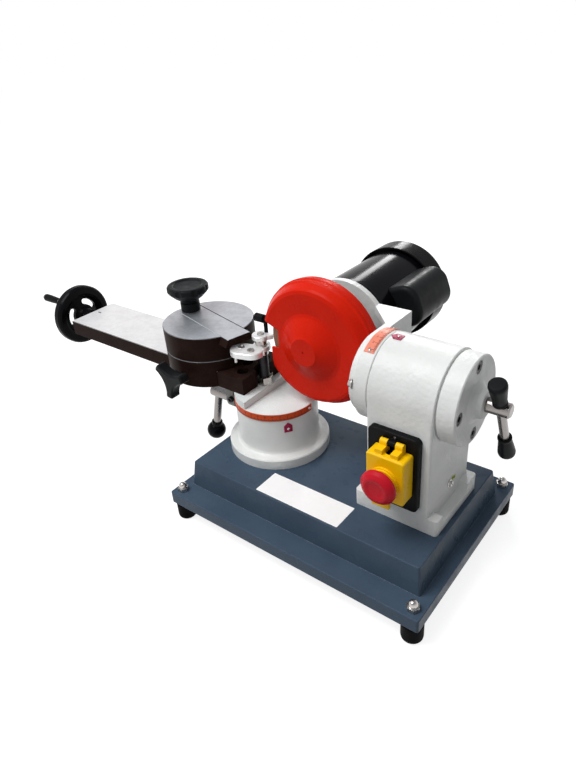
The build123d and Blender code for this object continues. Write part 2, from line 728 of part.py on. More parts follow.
def arm_screws():
    screws = []
    for x, y in swivel_spots(ARM_SCREW_SPOTS):
        length = ARM_SCREW_SEAT - PLATFORM_TOP + 10
        screw = cap_screw_down(
            x, y, ARM_SCREW_SEAT, ARM_SCREW_R, length, ARM_SCREW_HEAD_R, ARM_SCREW_HEAD_H
        )
        screws.append(screw)
    for x, y in swivel_spots(BRACKET_SCREW_SPOTS):
        seat = PLATFORM_TOP - BRACKET_PLATE_T
        length = BRACKET_PLATE_T + 11
        screws.append(cap_screw_up(x, y, seat, ARM_SCREW_R, length, ARM_SCREW_HEAD_R, ARM_SCREW_HEAD_H))
    return screws


def lock_bracket():
    y0 = SWIVEL_Y - BRACKET_HALF_W
    y1 = SWIVEL_Y + BRACKET_HALF_W
    wall_x1 = BRACKET_X0 + BRACKET_WALL_T
    body = box(BRACKET_X0, BRACKET_X1, y0, y1, PLATFORM_TOP - BRACKET_PLATE_T, PLATFORM_TOP)
    body += box(BRACKET_X0, wall_x1, y0, y1, LOCK_Z, PLATFORM_TOP)
    body += rod_x(BRACKET_HALF_W, BRACKET_X0, wall_x1, SWIVEL_Y, LOCK_Z)
    body -= rod_x(LOCK_SCREW_R + RUN_FIT, BRACKET_X0 - 1, wall_x1 + 1, SWIVEL_Y, LOCK_Z)
    for x, y in swivel_spots(BRACKET_SCREW_SPOTS):
        body -= rod_z(ARM_SCREW_R + LOOSE_FIT, PLATFORM_TOP - BRACKET_PLATE_T - 1, PLATFORM_TOP + 1, x, y)
    return body


def lever_rod(r, start, end):
    # rod in the plane of the lever; start and end are distances from the hub
    lean = degrees(atan2(BALL_X - LOCK_HUB_X, BALL_Z - LOCK_Z))
    rod = Pos(0, 0, (start + end) / 2) * Cylinder(r, end - start)
    return Pos(LOCK_HUB_X, SWIVEL_Y, LOCK_Z) * Rot(0, lean, 0) * rod


def lever_length():
    return hypot(BALL_X - LOCK_HUB_X, BALL_Z - LOCK_Z)


def lock_lever():
    tip = SWIVEL_X - COLUMN_R - SLIDE_GAP
    body = rod_x(LOCK_SCREW_R, LOCK_X0 + 2, tip, SWIVEL_Y, LOCK_Z)
    hub = rod_x(LOCK_HUB_R, LOCK_X0, BRACKET_X0 - 4, SWIVEL_Y, LOCK_Z)
    body += chamfer(hub.edges(), 0.8)
    return body + lever_rod(LEVER_R, 0, lever_length() + 4)


def lock_ball():
    ball = Pos(BALL_X, SWIVEL_Y, BALL_Z) * Sphere(BALL_R)
    ball += lever_rod(BALL_NECK_R, lever_length() - BALL_R - 3, lever_length())
    return ball - lever_rod(LEVER_R + SEAT_GAP, 0, lever_length() + 4.5)


# Tooth stop
def stop_post():
    post = rod_z(POST_FOOT_R, PLATFORM_TOP - 16, PLATFORM_TOP + 1, POST_X, SWIVEL_Y)
    post += rod_z(POST_R, PLATFORM_TOP, SLEEVE_Z0, POST_X, SWIVEL_Y)
    return post + rod_z(POST_PIN_R, SLEEVE_Z0, FINGER_Z1, POST_X, SWIVEL_Y)


def stop_nut():
    nut = hex_z(STOP_NUT_AF, PLATFORM_TOP, PLATFORM_TOP + STOP_NUT_H, POST_X, SWIVEL_Y)
    return nut - rod_z(POST_R + SEAT_GAP, PLATFORM_TOP - 1, PLATFORM_TOP + STOP_NUT_H + 1, POST_X, SWIVEL_Y)


def stop_sleeve():
    return turned_z(
        (
            (POST_PIN_R + SEAT_GAP, SLEEVE_Z0), (SLEEVE_R - 0.8, SLEEVE_Z0), (SLEEVE_R, SLEEVE_Z0 + 0.8),
            (SLEEVE_R, SLEEVE_Z1), (POST_PIN_R + SEAT_GAP, SLEEVE_Z1),
        ),
        POST_X, SWIVEL_Y,
    )


def stop_plate():
    flat = extrude(SlotOverall(OVAL_L, OVAL_W), STOP_PLATE_T)
    oval = Pos(OVAL_X, OVAL_Y, STOP_PLATE_Z0) * Rot(0, 0, OVAL_TURN) * flat
    oval = chamfer(oval.faces().sort_by(Axis.Z)[-1].edges(), 1.0)
    body = oval + rod_z(SLEEVE_R + 3.5, STOP_PLATE_Z0, STOP_PLATE_Z1 - 1.5, POST_X, SWIVEL_Y)
    body -= rod_z(SLEEVE_R + SEAT_GAP, STOP_PLATE_Z0 - 1, STOP_PLATE_Z1 + 1, POST_X, SWIVEL_Y)
    pin_x = OVAL_X - OVAL_L / 2 + 7
    return body + rod_z(STOP_PIN_R, STOP_PLATE_Z0 - STOP_PIN_L, STOP_PLATE_Z0 + 1, pin_x, OVAL_Y - 6)


def finger_spot(along, side):
    a = radians(FINGER_TURN)
    return (POST_X + along * cos(a) - side * sin(a), SWIVEL_Y + along * sin(a) + side * cos(a))


def stop_finger():
    body = rod_z(FINGER_R, SLEEVE_Z1, FINGER_Z1, POST_X, SWIVEL_Y)
    half = FINGER_TIP_W / 2
    tongue = [
        finger_spot(0, -FINGER_R + 1), finger_spot(FINGER_L, -half), finger_spot(FINGER_L, half),
        finger_spot(0, FINGER_R - 1),
    ]
    body += plate_z(tongue, SLEEVE_Z1, FINGER_Z1)
    body = chamfer(body.faces().sort_by(Axis.Z)[-1].edges(), 0.8)
    return body - rod_z(POST_PIN_R + RUN_FIT, SLEEVE_Z1 - 1, FINGER_Z1 + 1, POST_X, SWIVEL_Y)


def stop_knob():
    x = POST_X + UPRIGHT_DX
    y = SWIVEL_Y + UPRIGHT_DY
    end = x - KNURL_NECK
    body = rod_z(UPRIGHT_R, FINGER_Z1, KNURL_Z, x, y) + Pos(x, y, KNURL_Z) * Sphere(UPRIGHT_R)
    body += rod_x(UPRIGHT_R - 0.4, end - 1, x, y, KNURL_Z)
    return body + turned_x(
        (
            (end - KNURL_L, 0), (end - KNURL_L, KNURL_R - 1), (end - KNURL_L + 1, KNURL_R),
            (end - 1, KNURL_R),
            (end, KNURL_R - 1), (end, 0),
        ),
        y, KNURL_Z,
    )


# Blade feed
def lead_screw():
    body = rod_x(SCREW_R, HANDWHEEL_X1 - 6, CHANNEL_X1 + 11, SWIVEL_Y, FEED_Z)
    return body + rod_x(SCREW_R + 2, CHANNEL_X0 + SKIN_GAP, CHANNEL_X0 + 1.7, SWIVEL_Y, FEED_Z)


def crank_spot():
    a = radians(CRANK_ANGLE)
    return (SWIVEL_Y + CRANK_R * cos(a), FEED_Z + CRANK_R * sin(a))


def handwheel():
    x0 = HANDWHEEL_X0
    x1 = HANDWHEEL_X1
    mid = (x0 + x1) / 2
    r = HANDWHEEL_R
    rim = r - HANDWHEEL_RIM
    body = turned_x(
        (
            (x1 - 6, 0), (ARM_X0 - SKIN_GAP, 0), (ARM_X0 - SKIN_GAP, 11), (x1 + 6, 13), (x1 + 1, 15),
            (mid + 3, rim), (x1 - 1, rim + 1.5), (x1, rim + 5), (x1, r - 5), (x1 - 1.5, r - 1.6),
            (x1 - 5, r),
            (x0 + 5, r), (x0 + 1.5, r - 1.6), (x0, r - 5), (x0, rim + 5), (x0 + 1, rim + 1.5),
            (mid - 3, rim),
            (x1 - 6, 15),
        ),
        SWIVEL_Y, FEED_Z,
    )
    for i in range(3):
        start = WINDOW_TURN + 120 * i - WINDOW_ARC / 2
        window = Plane.YZ * SlotArc(CenterArc((0, 0), WINDOW_R, start, WINDOW_ARC), WINDOW_W)
        body -= Pos(x0 - 5, SWIVEL_Y, FEED_Z) * extrude(window, 2 * HANDWHEEL_HUB_L, dir=(1, 0, 0))
    body -= rod_x(SCREW_R + SEAT_GAP, x1 - 7, ARM_X0, SWIVEL_Y, FEED_Z)
    y, z = crank_spot()
    return body - rod_x(PIN_R + SEAT_GAP, x0 - 1, x0 + 13, y, z)


def crank_pin():
    y, z = crank_spot()
    pin = rod_x(PIN_R, PIN_END, HANDWHEEL_X0 + 12, y, z)
    pin += rod_x(PIN_HEAD_R, PIN_END, PIN_END + PIN_HEAD_T, y, z)
    return pin + rod_x(PIN_HEAD_R, HANDWHEEL_X0 - 2, HANDWHEEL_X0, y, z)


def crank_grip():
    y, z = crank_spot()
    x0 = GRIP_END
    x1 = HANDWHEEL_X0 - 2 - SKIN_GAP
    bore = PIN_R + RUN_FIT
    return turned_x(
        (
            (x0, bore), (x0, GRIP_R - 1), (x0 + 1, GRIP_R), (x0 + 14, GRIP_R), (x1 - 6, GRIP_R - 0.7),
            (x1, GRIP_R - 1.2), (x1, bore),
        ),
        y, z,
    )


def plate_screw_spots():
    reach = (CHEEK_IN + NUT_PLATE_HALF_W) / 2
    return [(PUCK_X - dx, SWIVEL_Y + s * reach) for dx in (21, 6) for s in (-1, 1)]


def nut_screw_spots():
    return [((NUT_X0 + NUT_X1) / 2, SWIVEL_Y + s * 8.5) for s in (-1, 1)]


def carriage():
    body = rod_z(PUCK_R, CARRIAGE_BOTTOM, CARRIAGE_TOP, PUCK_X, SWIVEL_Y)
    body = chamfer(body.edges(), 0.8)
    reach = PUCK_R + 8
    body -= box(
        PUCK_X - reach, PUCK_X + reach, SWIVEL_Y - CHEEK_IN, SWIVEL_Y + CHEEK_IN, CARRIAGE_BOTTOM - 1,
        CHANNEL_ROOF
    )
    body -= rod_z(PIVOT_R + RUN_FIT, PIVOT_FLOOR, CARRIAGE_TOP + 1, PUCK_X, SWIVEL_Y)
    body -= rod_z(BOLT_R + SEAT_GAP, CHANNEL_ROOF - 1, PIVOT_FLOOR + 1, PUCK_X, SWIVEL_Y)
    for x, y in plate_screw_spots():
        body -= rod_z(SMALL_SCREW_R + SEAT_GAP, CARRIAGE_BOTTOM - 1, CARRIAGE_BOTTOM + SMALL_GRIP + 2, x, y)
    return body - rod_y(WING_STUD_R + RUN_FIT, SWIVEL_Y - reach, SWIVEL_Y - CHEEK_IN + 10, PUCK_X, WING_Z)


def nut_plate():
    z0 = CARRIAGE_BOTTOM - NUT_PLATE_T
    half = NUT_PLATE_HALF_W
    body = box(PUCK_X - NUT_PLATE_L, PUCK_X, SWIVEL_Y - half, SWIVEL_Y + half, z0, CARRIAGE_BOTTOM)
    body += box(NUT_X0, PUCK_X - 20, SWIVEL_Y - NUT_HALF_W, SWIVEL_Y + NUT_HALF_W, z0, CARRIAGE_BOTTOM)
    for x, y in plate_screw_spots() + nut_screw_spots():
        body -= rod_z(SMALL_SCREW_R + LOOSE_FIT, z0 - 1, CARRIAGE_BOTTOM + 1, x, y)
    return body


def lead_nut():
    half = NUT_HALF_W
    body = box(NUT_X0, NUT_X1, SWIVEL_Y - half, SWIVEL_Y + half, CARRIAGE_BOTTOM, CHANNEL_TOP - SLIDE_GAP)
    body -= rod_x(SCREW_R + RUN_FIT, NUT_X0 - 1, NUT_X1 + 1, SWIVEL_Y, FEED_Z)
    for x, y in nut_screw_spots():
        body -= rod_z(SMALL_SCREW_R + SEAT_GAP, CARRIAGE_BOTTOM - 1, CARRIAGE_BOTTOM + SMALL_GRIP + 2, x, y)
    return body


def plate_screws():
    seat = CARRIAGE_BOTTOM - NUT_PLATE_T
    length = NUT_PLATE_T + SMALL_GRIP
    spots = plate_screw_spots() + nut_screw_spots()
    return [cap_screw_up(x, y, seat, SMALL_SCREW_R, length, SMALL_HEAD_R, SMALL_HEAD_H) for x, y in spots]


def wing_knob():
    outline = Circle(WING_R)
    reach = WING_WAIST + WING_BITE_R
    for turn in (80, 200, 320):
        outline -= Rot(0, 0, turn) * Pos(reach, 0) * Circle(WING_BITE_R)
    outline = fillet(outline.vertices(), 3.0)
    face = Plane.XZ * outline
    body = Pos(PUCK_X, WING_Y0, WING_Z) * extrude(face, WING_T, dir=(0, 1, 0))
    body = chamfer(body.faces().sort_by(Axis.Y)[0].edges(), 1.5)
    body += rod_y(WING_WAIST - 2, WING_Y1, WING_Y1 + 4, PUCK_X, WING_Z)
    return body + rod_y(WING_STUD_R, WING_Y1, SWIVEL_Y - ARM_HALF_W - SLIDE_GAP, PUCK_X, WING_Z)


# Blade table
def strip_bar(points, start, end):
    face = Plane.YZ * make_face(Polyline(*points, close=True))
    bar = Pos(start, 0, 0) * extrude(face, end - start, dir=(1, 0, 0))
    return Pos(PUCK_X, SWIVEL_Y, 0) * Rot(0, 0, STRIP_ANGLE) * bar


def strip_half(z):
    # half width of the strip at a height
    return STRIP_TOP_W / 2 + STRIP_FLARE * (TABLE_TOP - z) / STRIP_T


def strip_spot(along):
    a = radians(STRIP_ANGLE)
    return (PUCK_X + along * cos(a), SWIVEL_Y + along * sin(a))


def blade_table():
    body = rod_z(PUCK_R, CARRIAGE_TOP, TABLE_TOP, PUCK_X, SWIVEL_Y)
    body = chamfer(body.edges(), 0.8)
    body += rod_z(PIVOT_R, PIVOT_FLOOR + SKIN_GAP, CARRIAGE_TOP + 1, PUCK_X, SWIVEL_Y)
    floor = TABLE_TOP - STRIP_T
    edge = TABLE_TOP - STRIP_EDGE
    low = strip_half(floor) + SKIN_GAP
    high = strip_half(edge) + SKIN_GAP
    top = strip_half(TABLE_TOP) + SKIN_GAP + STRIP_EDGE
    groove = (
        (-low, floor), (low, floor), (high, edge), (top, TABLE_TOP + 0.01), (-top, TABLE_TOP + 0.01),
        (-high, edge)
    )
    body -= strip_bar(groove, -PUCK_R - 5, PUCK_R + 5)
    body -= rod_z(PIVOT_SCREW_R + RUN_FIT, PIVOT_FLOOR - 1, floor, PUCK_X, SWIVEL_Y)
    return body - rod_z(PIVOT_HEAD_R + 1, floor - 9, floor + 1, PUCK_X, SWIVEL_Y)


def table_pivot():
    seat = TABLE_TOP - STRIP_T - 9 + SKIN_GAP
    screw = rod_z(BOLT_R, CHANNEL_ROOF + 0.5, PIVOT_FLOOR, PUCK_X, SWIVEL_Y)
    screw += rod_z(PIVOT_SCREW_R, PIVOT_FLOOR, seat, PUCK_X, SWIVEL_Y)
    screw += rod_z(PIVOT_HEAD_R, seat, seat + 6, PUCK_X, SWIVEL_Y)
    return screw - hex_z(8, seat + 3, seat + 6, PUCK_X, SWIVEL_Y)


def table_strip():
    floor = TABLE_TOP - STRIP_T
    edge = TABLE_TOP - STRIP_EDGE
    low = strip_half(floor)
    high = strip_half(edge)
    top = strip_half(TABLE_TOP) - STRIP_EDGE
    bar = ((-low, floor), (low, floor), (high, edge), (top, TABLE_TOP), (-top, TABLE_TOP), (-high, edge))
    body = strip_bar(bar, STRIP_BACK, STRIP_FRONT)
    x, y = strip_spot(KNOB_AT)
    return body - rod_z(STUD_R + SEAT_GAP, floor - 1, TABLE_TOP + 1, x, y)


def centring_stud():
    x, y = strip_spot(KNOB_AT)
    return rod_z(STUD_R, TABLE_TOP - STRIP_T + 0.5, STAR_TOP - 9, x, y)


def star_knob():
    x, y = strip_spot(KNOB_AT)
    z0 = TABLE_TOP
    stem = STAR_STEM_R
    body = turned_z(
        (
            (0, z0), (stem - 0.8, z0), (stem, z0 + 0.8), (stem, z0 + 12.5), (stem - 2, z0 + 13.5),
            (stem - 2, z0 + 15.5), (stem + 0.5, z0 + 16.5), (STAR_R - 8, STAR_TOP - 16.5),
            (STAR_R - 2, STAR_TOP - 10.5), (STAR_R, STAR_TOP - 8), (STAR_R, STAR_TOP - 2.4),
            (STAR_R - 1.2, STAR_TOP - 0.8), (STAR_R - 3.2, STAR_TOP), (STAR_R - 7.5, STAR_TOP),
            (STAR_R - 9.5, STAR_TOP - 1.6), (0, STAR_TOP - 2.2),
        ),
        x, y,
    )
    for i in range(8):
        a = radians(45 * i + 20)
        reach = STAR_R + 6.4
        body -= rod_z(8.0, STAR_TOP - 14, STAR_TOP + 1, x + reach * cos(a), y + reach * sin(a))
    return body - rod_z(STUD_R + RUN_FIT, z0 - 1, STAR_TOP - 8, x, y)


# Head column
def head_foot():
    foot = box(HEAD_FOOT_X0, HEAD_FOOT_X1, FACE_Y, BACK_Y, PAN_TOP, HEAD_FOOT_TOP)
    foot = fillet(foot.edges().filter_by(Axis.Z), 4.0)
    floor = PAN_TOP + TROUGH_H
    top = HEAD_FOOT_TOP + 1
    front = FACE_Y + LUG_W
    back = BACK_Y - LUG_W - 10
    trough = (
        (front, top), (front + 2, floor + 2), (front + 5, floor), (back - 9, floor),
        (back - 4, floor + 1.6),
        (back - 1, floor + 5), (back, top),
    )
    return foot - plate_x(trough, HEAD_X1, HEAD_FOOT_X1 + 1)


def head_column():
    body = box(HOUSING_X0, HEAD_X1, FACE_Y, BACK_Y, PAN_TOP, TILT_Z)
    body = fillet(body.edges().filter_by(Axis.Z), 3.0)
    housing = rod_x(HOUSING_R, HOUSING_X0, HOUSING_X1, TILT_Y, TILT_Z)
    body += chamfer(housing.edges(), 0.8)
    body += head_foot()
    boss = rod_y(INLET_R, BACK_Y - 1, BACK_Y + INLET_L, INLET_X, INLET_Z)
    body += chamfer(boss.faces().sort_by(Axis.Y)[-1].edges(), 1.5)
    hollow_y = FACE_Y + HEAD_WALL
    body -= box(
        HOUSING_X0 + HEAD_WALL, HEAD_X1 - HEAD_WALL, hollow_y, hollow_y + HEAD_HOLLOW_W, PAN_TOP - 1,
        HEAD_ROOF_Z,
    )
    body -= rod_y(INLET_BORE_R, hollow_y + HEAD_HOLLOW_W - 1, BACK_Y + INLET_L + 1, INLET_X, INLET_Z)
    body -= box(SWITCH_X0 - 1, SWITCH_X1 + 1, FACE_Y - 5, hollow_y + 1, SWITCH_Z0 - 1, SWITCH_Z1 + 1)
    body -= rod_x(TILT_SHAFT_R + RUN_FIT, HOUSING_X0 - 1, HOUSING_X1 + 1, TILT_Y, TILT_Z)
    for x, y in head_bolt_spots():
        body -= rod_z(BOLT_R + LOOSE_FIT, PAN_TOP - 1, PAN_TOP + BOLT_GRIP + 1, x, y)
    for y, z in cap_screw_spots():
        body -= rod_x(BOLT_R + SEAT_GAP, HOUSING_X1 - CAP_SCREW_GRIP - 1, HOUSING_X1 + 1, y, z)
    return body


def cap_screw_spots():
    spots = []
    for angle in (0, 90, 180, 270):
        a = radians(angle)
        spots.append((TILT_Y + CAP_SCREW_PITCH_R * cos(a), TILT_Z + CAP_SCREW_PITCH_R * sin(a)))
    return spots


def end_cap():
    bore = LOCK_SHAFT_R + RUN_FIT
    body = turned_x(
        (
            (HOUSING_X1, bore), (HOUSING_X1, CAP_R - CAP_GROOVE), (CAP_X0, CAP_R - CAP_GROOVE),
            (CAP_X0, CAP_R - 0.6),
            (CAP_X0 + 0.6, CAP_R), (CAP_X1 - 1.2, CAP_R), (CAP_X1, CAP_R - 1.2), (CAP_X1, CAP_BOSS_R + 8.5),
            (CAP_X1 + 2.5, CAP_BOSS_R + 3.5), (CAP_X1 + 6, CAP_BOSS_R + 1), (CAP_BOSS_X - 1, CAP_BOSS_R),
            (CAP_BOSS_X, CAP_BOSS_R - 1), (CAP_BOSS_X, bore),
        ),
        TILT_Y, TILT_Z,
    )
    for y, z in cap_screw_spots():
        body -= rod_x(BOLT_R + LOOSE_FIT, HOUSING_X1 - 1, CAP_X1 + 1, y, z)
        body -= rod_x(BOLT_HEAD_R + 0.8, CAP_SCREW_SEAT, CAP_X1 + 1, y, z)
    return body


def cap_screws():
    screws = []
    seat = CAP_SCREW_SEAT
    for y, z in cap_screw_spots():
        screw = rod_x(BOLT_HEAD_R, seat, seat + BOLT_HEAD_H, y, z)
        screw += rod_x(BOLT_R, HOUSING_X1 - CAP_SCREW_GRIP, seat, y, z)
        socket = Plane.YZ * RegularPolygon(BOLT_HEAD_R * 0.55, 6)
        screw -= Pos(seat + BOLT_HEAD_H / 2, y, z) * extrude(socket, BOLT_HEAD_H, dir=(1, 0, 0))
        screws.append(screw)
    return screws


# Tilting head
def head_bracket():
    disc = rod_x(HOUSING_R, DISC_X0, DISC_X1, TILT_Y, TILT_Z)
    disc = chamfer(disc.edges(), 0.8)
    r = HOUSING_R - 5.3
    low = TILT_Z - r + 4
    high = TILT_Z + r
    wall = plate_x(
        ((TILT_Y, TILT_Z - r), (MOTOR_PLATE_Y1, low), (MOTOR_PLATE_Y1, high), (TILT_Y, high)),
        WALL_X0, DISC_X0 + 2
    )
    wall += rod_x(r, WALL_X0, DISC_X0 + 2, TILT_Y, TILT_Z)
    body = disc + wall
    body += rod_y(MOTOR_PLATE_R, MOTOR_PLATE_Y0, MOTOR_PLATE_Y1, SPINDLE_X, SPINDLE_Z)
    body += box(SPINDLE_X + 20, DISC_X0, MOTOR_PLATE_Y0, MOTOR_PLATE_Y1, low, high)
    rib_x = WALL_X0 + 4
    for z0 in (low, high - 10):
        rib = ((rib_x - 41, MOTOR_PLATE_Y0 + 2), (rib_x, MOTOR_PLATE_Y0 + 2), (rib_x, MOTOR_PLATE_Y0 - 40))
        body += plate_z(rib, z0, z0 + 10)
    body -= rod_y(SHAFT_R + 6, MOTOR_PLATE_Y0 - 1, MOTOR_PLATE_Y1 + 1, SPINDLE_X, SPINDLE_Z)
    return body - rod_x(TILT_SHAFT_R + SEAT_GAP, rib_x, DISC_X1 + 1, TILT_Y, TILT_Z)


def tilt_shaft():
    body = rod_x(TILT_SHAFT_R, WALL_X0 + 4.5, HOUSING_X1 - 4, TILT_Y, TILT_Z)
    return body - rod_x(LOCK_SHAFT_R + RUN_FIT, LOCK_SHAFT_X0 - 2, HOUSING_X1 - 3, TILT_Y, TILT_Z)


def tilt_scale():
    band = band_sector(HOUSING_R + SEAT_GAP, HOUSING_R + SCALE_T, 0, DISC_L - 5, 62, 127)
    return Plane(origin=((DISC_X0 + DISC_X1) / 2, TILT_Y, TILT_Z), x_dir=(0, 1, 0), z_dir=(1, 0, 0)) * band


def lock_shaft():
    body = turned_x(
        (
            (LOCK_SHAFT_X0, 0), (LOCK_SHAFT_X0, LOCK_SHAFT_R), (LOCK_SHAFT_END - 1.5, LOCK_SHAFT_R),
            (LOCK_SHAFT_END, LOCK_SHAFT_R - 1.5), (LOCK_SHAFT_END, 0),
        ),
        TILT_Y, TILT_Z,
    )
    return body - tommy_rod(TOMMY_R + RUN_FIT, -20, 20)


def tommy_rod(r, start, end):
    rod = Pos(0, 0, (start + end) / 2) * Cylinder(r, end - start)
    return Pos(TOMMY_X, TILT_Y, TILT_Z) * Rot(TOMMY_TILT, 0, 0) * rod


def tommy_bar():
    return tommy_rod(TOMMY_R, TOMMY_LOW - TOMMY_GRIP_L + 8, LOCK_SHAFT_R + TOMMY_GRIP_L - 8)


def tommy_grips():
    r = TOMMY_GRIP_R
    bore = TOMMY_R + SEAT_GAP
    length = TOMMY_GRIP_L
    profile = (
        (bore, 0), (r - 2.6, 0), (r - 2, 0.8), (r - 2, 2.6), (r - 2.7, 3.4), (r - 0.2, length - 7),
        (r, length - 4),
        (r - 0.4, length - 1.6), (r - 1.8, length), (0, length), (0, length - 7), (bore, length - 7),
    )
    grip = turned_z(profile, 0, 0)
    hub = Pos(TOMMY_X, TILT_Y, TILT_Z)
    upper = hub * Rot(TOMMY_TILT, 0, 0) * Pos(0, 0, LOCK_SHAFT_R + SKIN_GAP) * grip
    lower = hub * Rot(TOMMY_TILT + 180, 0, 0) * Pos(0, 0, -TOMMY_LOW) * grip
    return [upper, lower]


# Motor and spindle
def motor_shell():
    ring = turned_y(
        (
            (0, MOTOR_PLATE_Y1), (MOTOR_RING_R - 1, MOTOR_PLATE_Y1), (MOTOR_RING_R, MOTOR_PLATE_Y1 + 1),
            (MOTOR_RING_R, MOTOR_PLATE_Y1 + 7), (MOTOR_R, MOTOR_PLATE_Y1 + 8), (MOTOR_R, MOTOR_Y1 - 1),
            (MOTOR_R - 1, MOTOR_Y1), (0, MOTOR_Y1),
        ),
        SPINDLE_X, SPINDLE_Z,
    )
    y0 = MOTOR_PLATE_Y1 + MOTOR_END_T
    ring -= rod_y(MOTOR_R - MOTOR_WALL, y0, MOTOR_Y1 - MOTOR_END_T, SPINDLE_X, SPINDLE_Z)
    return ring - rod_y(SHAFT_R + RUN_FIT, MOTOR_PLATE_Y1 - 1, MOTOR_Y1 + 1, SPINDLE_X, SPINDLE_Z)


def stator():
    core = rod_y(MOTOR_R - MOTOR_WALL - SEAT_GAP, CORE_Y0, CORE_Y1, SPINDLE_X, SPINDLE_Z)
    y0 = CORE_Y0 - WINDING_L
    y1 = CORE_Y1 + WINDING_L
    core += rod_y(MOTOR_R - 2 * MOTOR_WALL, y0, y1, SPINDLE_X, SPINDLE_Z)
    return core - rod_y(ROTOR_R + ROTOR_GAP, y0 - 1, y1 + 1, SPINDLE_X, SPINDLE_Z)


def motor_shaft():
    shaft = rod_y(SHAFT_R, WHEEL_Y0 - 14, FAN_COVER_Y0 + 14, SPINDLE_X, SPINDLE_Z)
    shaft += rod_y(SHAFT_R + 4, WHEEL_Y1 + 6, MOTOR_PLATE_Y1 - 2, SPINDLE_X, SPINDLE_Z)
    return shaft + rod_y(ROTOR_R, CORE_Y0, CORE_Y1, SPINDLE_X, SPINDLE_Z)


def fan():
    y0 = FAN_COVER_Y0 + 3
    body = rod_y(FAN_HUB_R, y0, y0 + 10, SPINDLE_X, SPINDLE_Z)
    body += rod_y(FAN_R, y0, y0 + FAN_DISC_T, SPINDLE_X, SPINDLE_Z)
    for i in range(8):
        blade = box(FAN_HUB_R - 3, FAN_R, y0, y0 + FAN_BLADE_H, -FAN_BLADE_T / 2, FAN_BLADE_T / 2)
        body += Pos(SPINDLE_X, 0, SPINDLE_Z) * Rot(0, 45 * i, 0) * blade
    return body - rod_y(SHAFT_R + SEAT_GAP, y0 - 1, y0 + 20, SPINDLE_X, SPINDLE_Z)


def fan_cover():
    y1 = FAN_COVER_Y1
    r = FAN_COVER_R
    inner = r - FAN_COVER_T
    seat = MOTOR_R - FAN_COVER_T
    lip = MOTOR_Y1 - FAN_SKIRT
    body = turned_y(
        (
            (seat, MOTOR_Y1), (inner, MOTOR_Y1), (inner, lip), (r - 0.6, lip), (r, lip + 0.8), (r, y1 - 6),
            (r - 2, y1 - 2), (r - 5, y1), (0, y1), (0, y1 - FAN_COVER_T), (r - 6, y1 - FAN_COVER_T),
            (inner, y1 - 7), (inner, FAN_COVER_Y0 + 3), (seat, FAN_COVER_Y0 + 1),
        ),
        SPINDLE_X, SPINDLE_Z,
    )
    for k in range(4):
        for i in range(8):
            arc = Plane.XZ * SlotArc(CenterArc((0, 0), 18 + 10 * k, 45 * i + 5, 30), 4)
            body -= Pos(SPINDLE_X, y1 - 5, SPINDLE_Z) * extrude(arc, 8, dir=(0, 1, 0))
    return body


def capacitor_box():
    depth = BOX_OUT_R - BOX_IN_R
    outline = Pos(BOX_IN_R + depth / 2, 0) * Rectangle(depth, BOX_W)
    outline = fillet(outline.vertices().group_by(Axis.X)[-1], 21.0)
    face = Plane.XZ * Rot(0, 0, BOX_ANGLE) * outline
    body = Pos(SPINDLE_X, BOX_Y0, SPINDLE_Z) * extrude(face, BOX_Y1 - BOX_Y0, dir=(0, 1, 0))
    ends = body.faces().sort_by(Axis.Y)
    body = fillet(ends[0].edges() + ends[-1].edges(), BOX_EDGE_R)
    return body - rod_y(MOTOR_R + SEAT_GAP, BOX_Y0 - 1, BOX_Y1 + 1, SPINDLE_X, SPINDLE_Z)


def guard_profile():
    hub = GUARD_HUB_Y
    cone = GUARD_CONE_R
    face = GUARD_FACE_R
    band = GUARD_BAND_R
    back = GUARD_BACK_Y + GUARD_T
    outer = [
        (0, hub), (GUARD_HUB_R - 0.8, hub), (GUARD_HUB_R, hub + 0.5), (GUARD_HUB_R + 1.6, hub + 1.6),
        (cone - 4, -1.2), (cone, 0), (face - 5, 0), (face - 1, 1.2), (face + 1, 4), (band - 2, 12),
        (band, 14),
        (band, 18), (band + GUARD_BEAD, 19), (band + GUARD_BEAD, 21.5), (band, 22.5), (band, back),
    ]
    inner = [
        (band - GUARD_T, back), (band - GUARD_T, 15), (face - 2, 5.2), (face - 5, GUARD_T),
        (cone - 1, GUARD_T),
        (cone - 5, 1.8), (GUARD_HUB_R + 0.6, hub + 4.6), (GUARD_HUB_R - 1.4, hub + GUARD_T),
        (0, hub + GUARD_T),
    ]
    return outer + inner


def guard_notch(y0, y1):
    left = -GUARD_BAND_R - 35
    low = -GUARD_BAND_R - 25
    points = (
        (left, NOTCH_TOP + NOTCH_RISE), (NOTCH_X, NOTCH_TOP), (NOTCH_X, NOTCH_FLOOR),
        (NOTCH_EDGE, NOTCH_FLOOR),
        (NOTCH_EDGE, low), (left, low),
    )
    return Pos(SPINDLE_X, 0, SPINDLE_Z) * plate_y(points, y0, y1)


def guard_cover():
    body = turned_y(guard_profile(), SPINDLE_X, SPINDLE_Z)
    body -= rod_y(1.5, GUARD_HUB_Y - 1, GUARD_HUB_Y + 1, SPINDLE_X, SPINDLE_Z)
    return body - guard_notch(GUARD_HUB_Y - 5, GUARD_BACK_Y + 10)


def guard_back():
    y0 = GUARD_BACK_Y
    bore = WHEEL_FLANGE_R - 6
    body = rod_y(GUARD_BAND_R - GUARD_T - LOOSE_FIT, y0, y0 + GUARD_T, SPINDLE_X, SPINDLE_Z)
    body += rod_y(bore + 6, y0, MOTOR_PLATE_Y0, SPINDLE_X, SPINDLE_Z)
    body += rod_y(bore + 15, MOTOR_PLATE_Y0 - 6, MOTOR_PLATE_Y0, SPINDLE_X, SPINDLE_Z)
    body -= rod_y(bore, y0 - 1, MOTOR_PLATE_Y0 + 1, SPINDLE_X, SPINDLE_Z)
    return body - guard_notch(y0 - 1, y0 + 10)


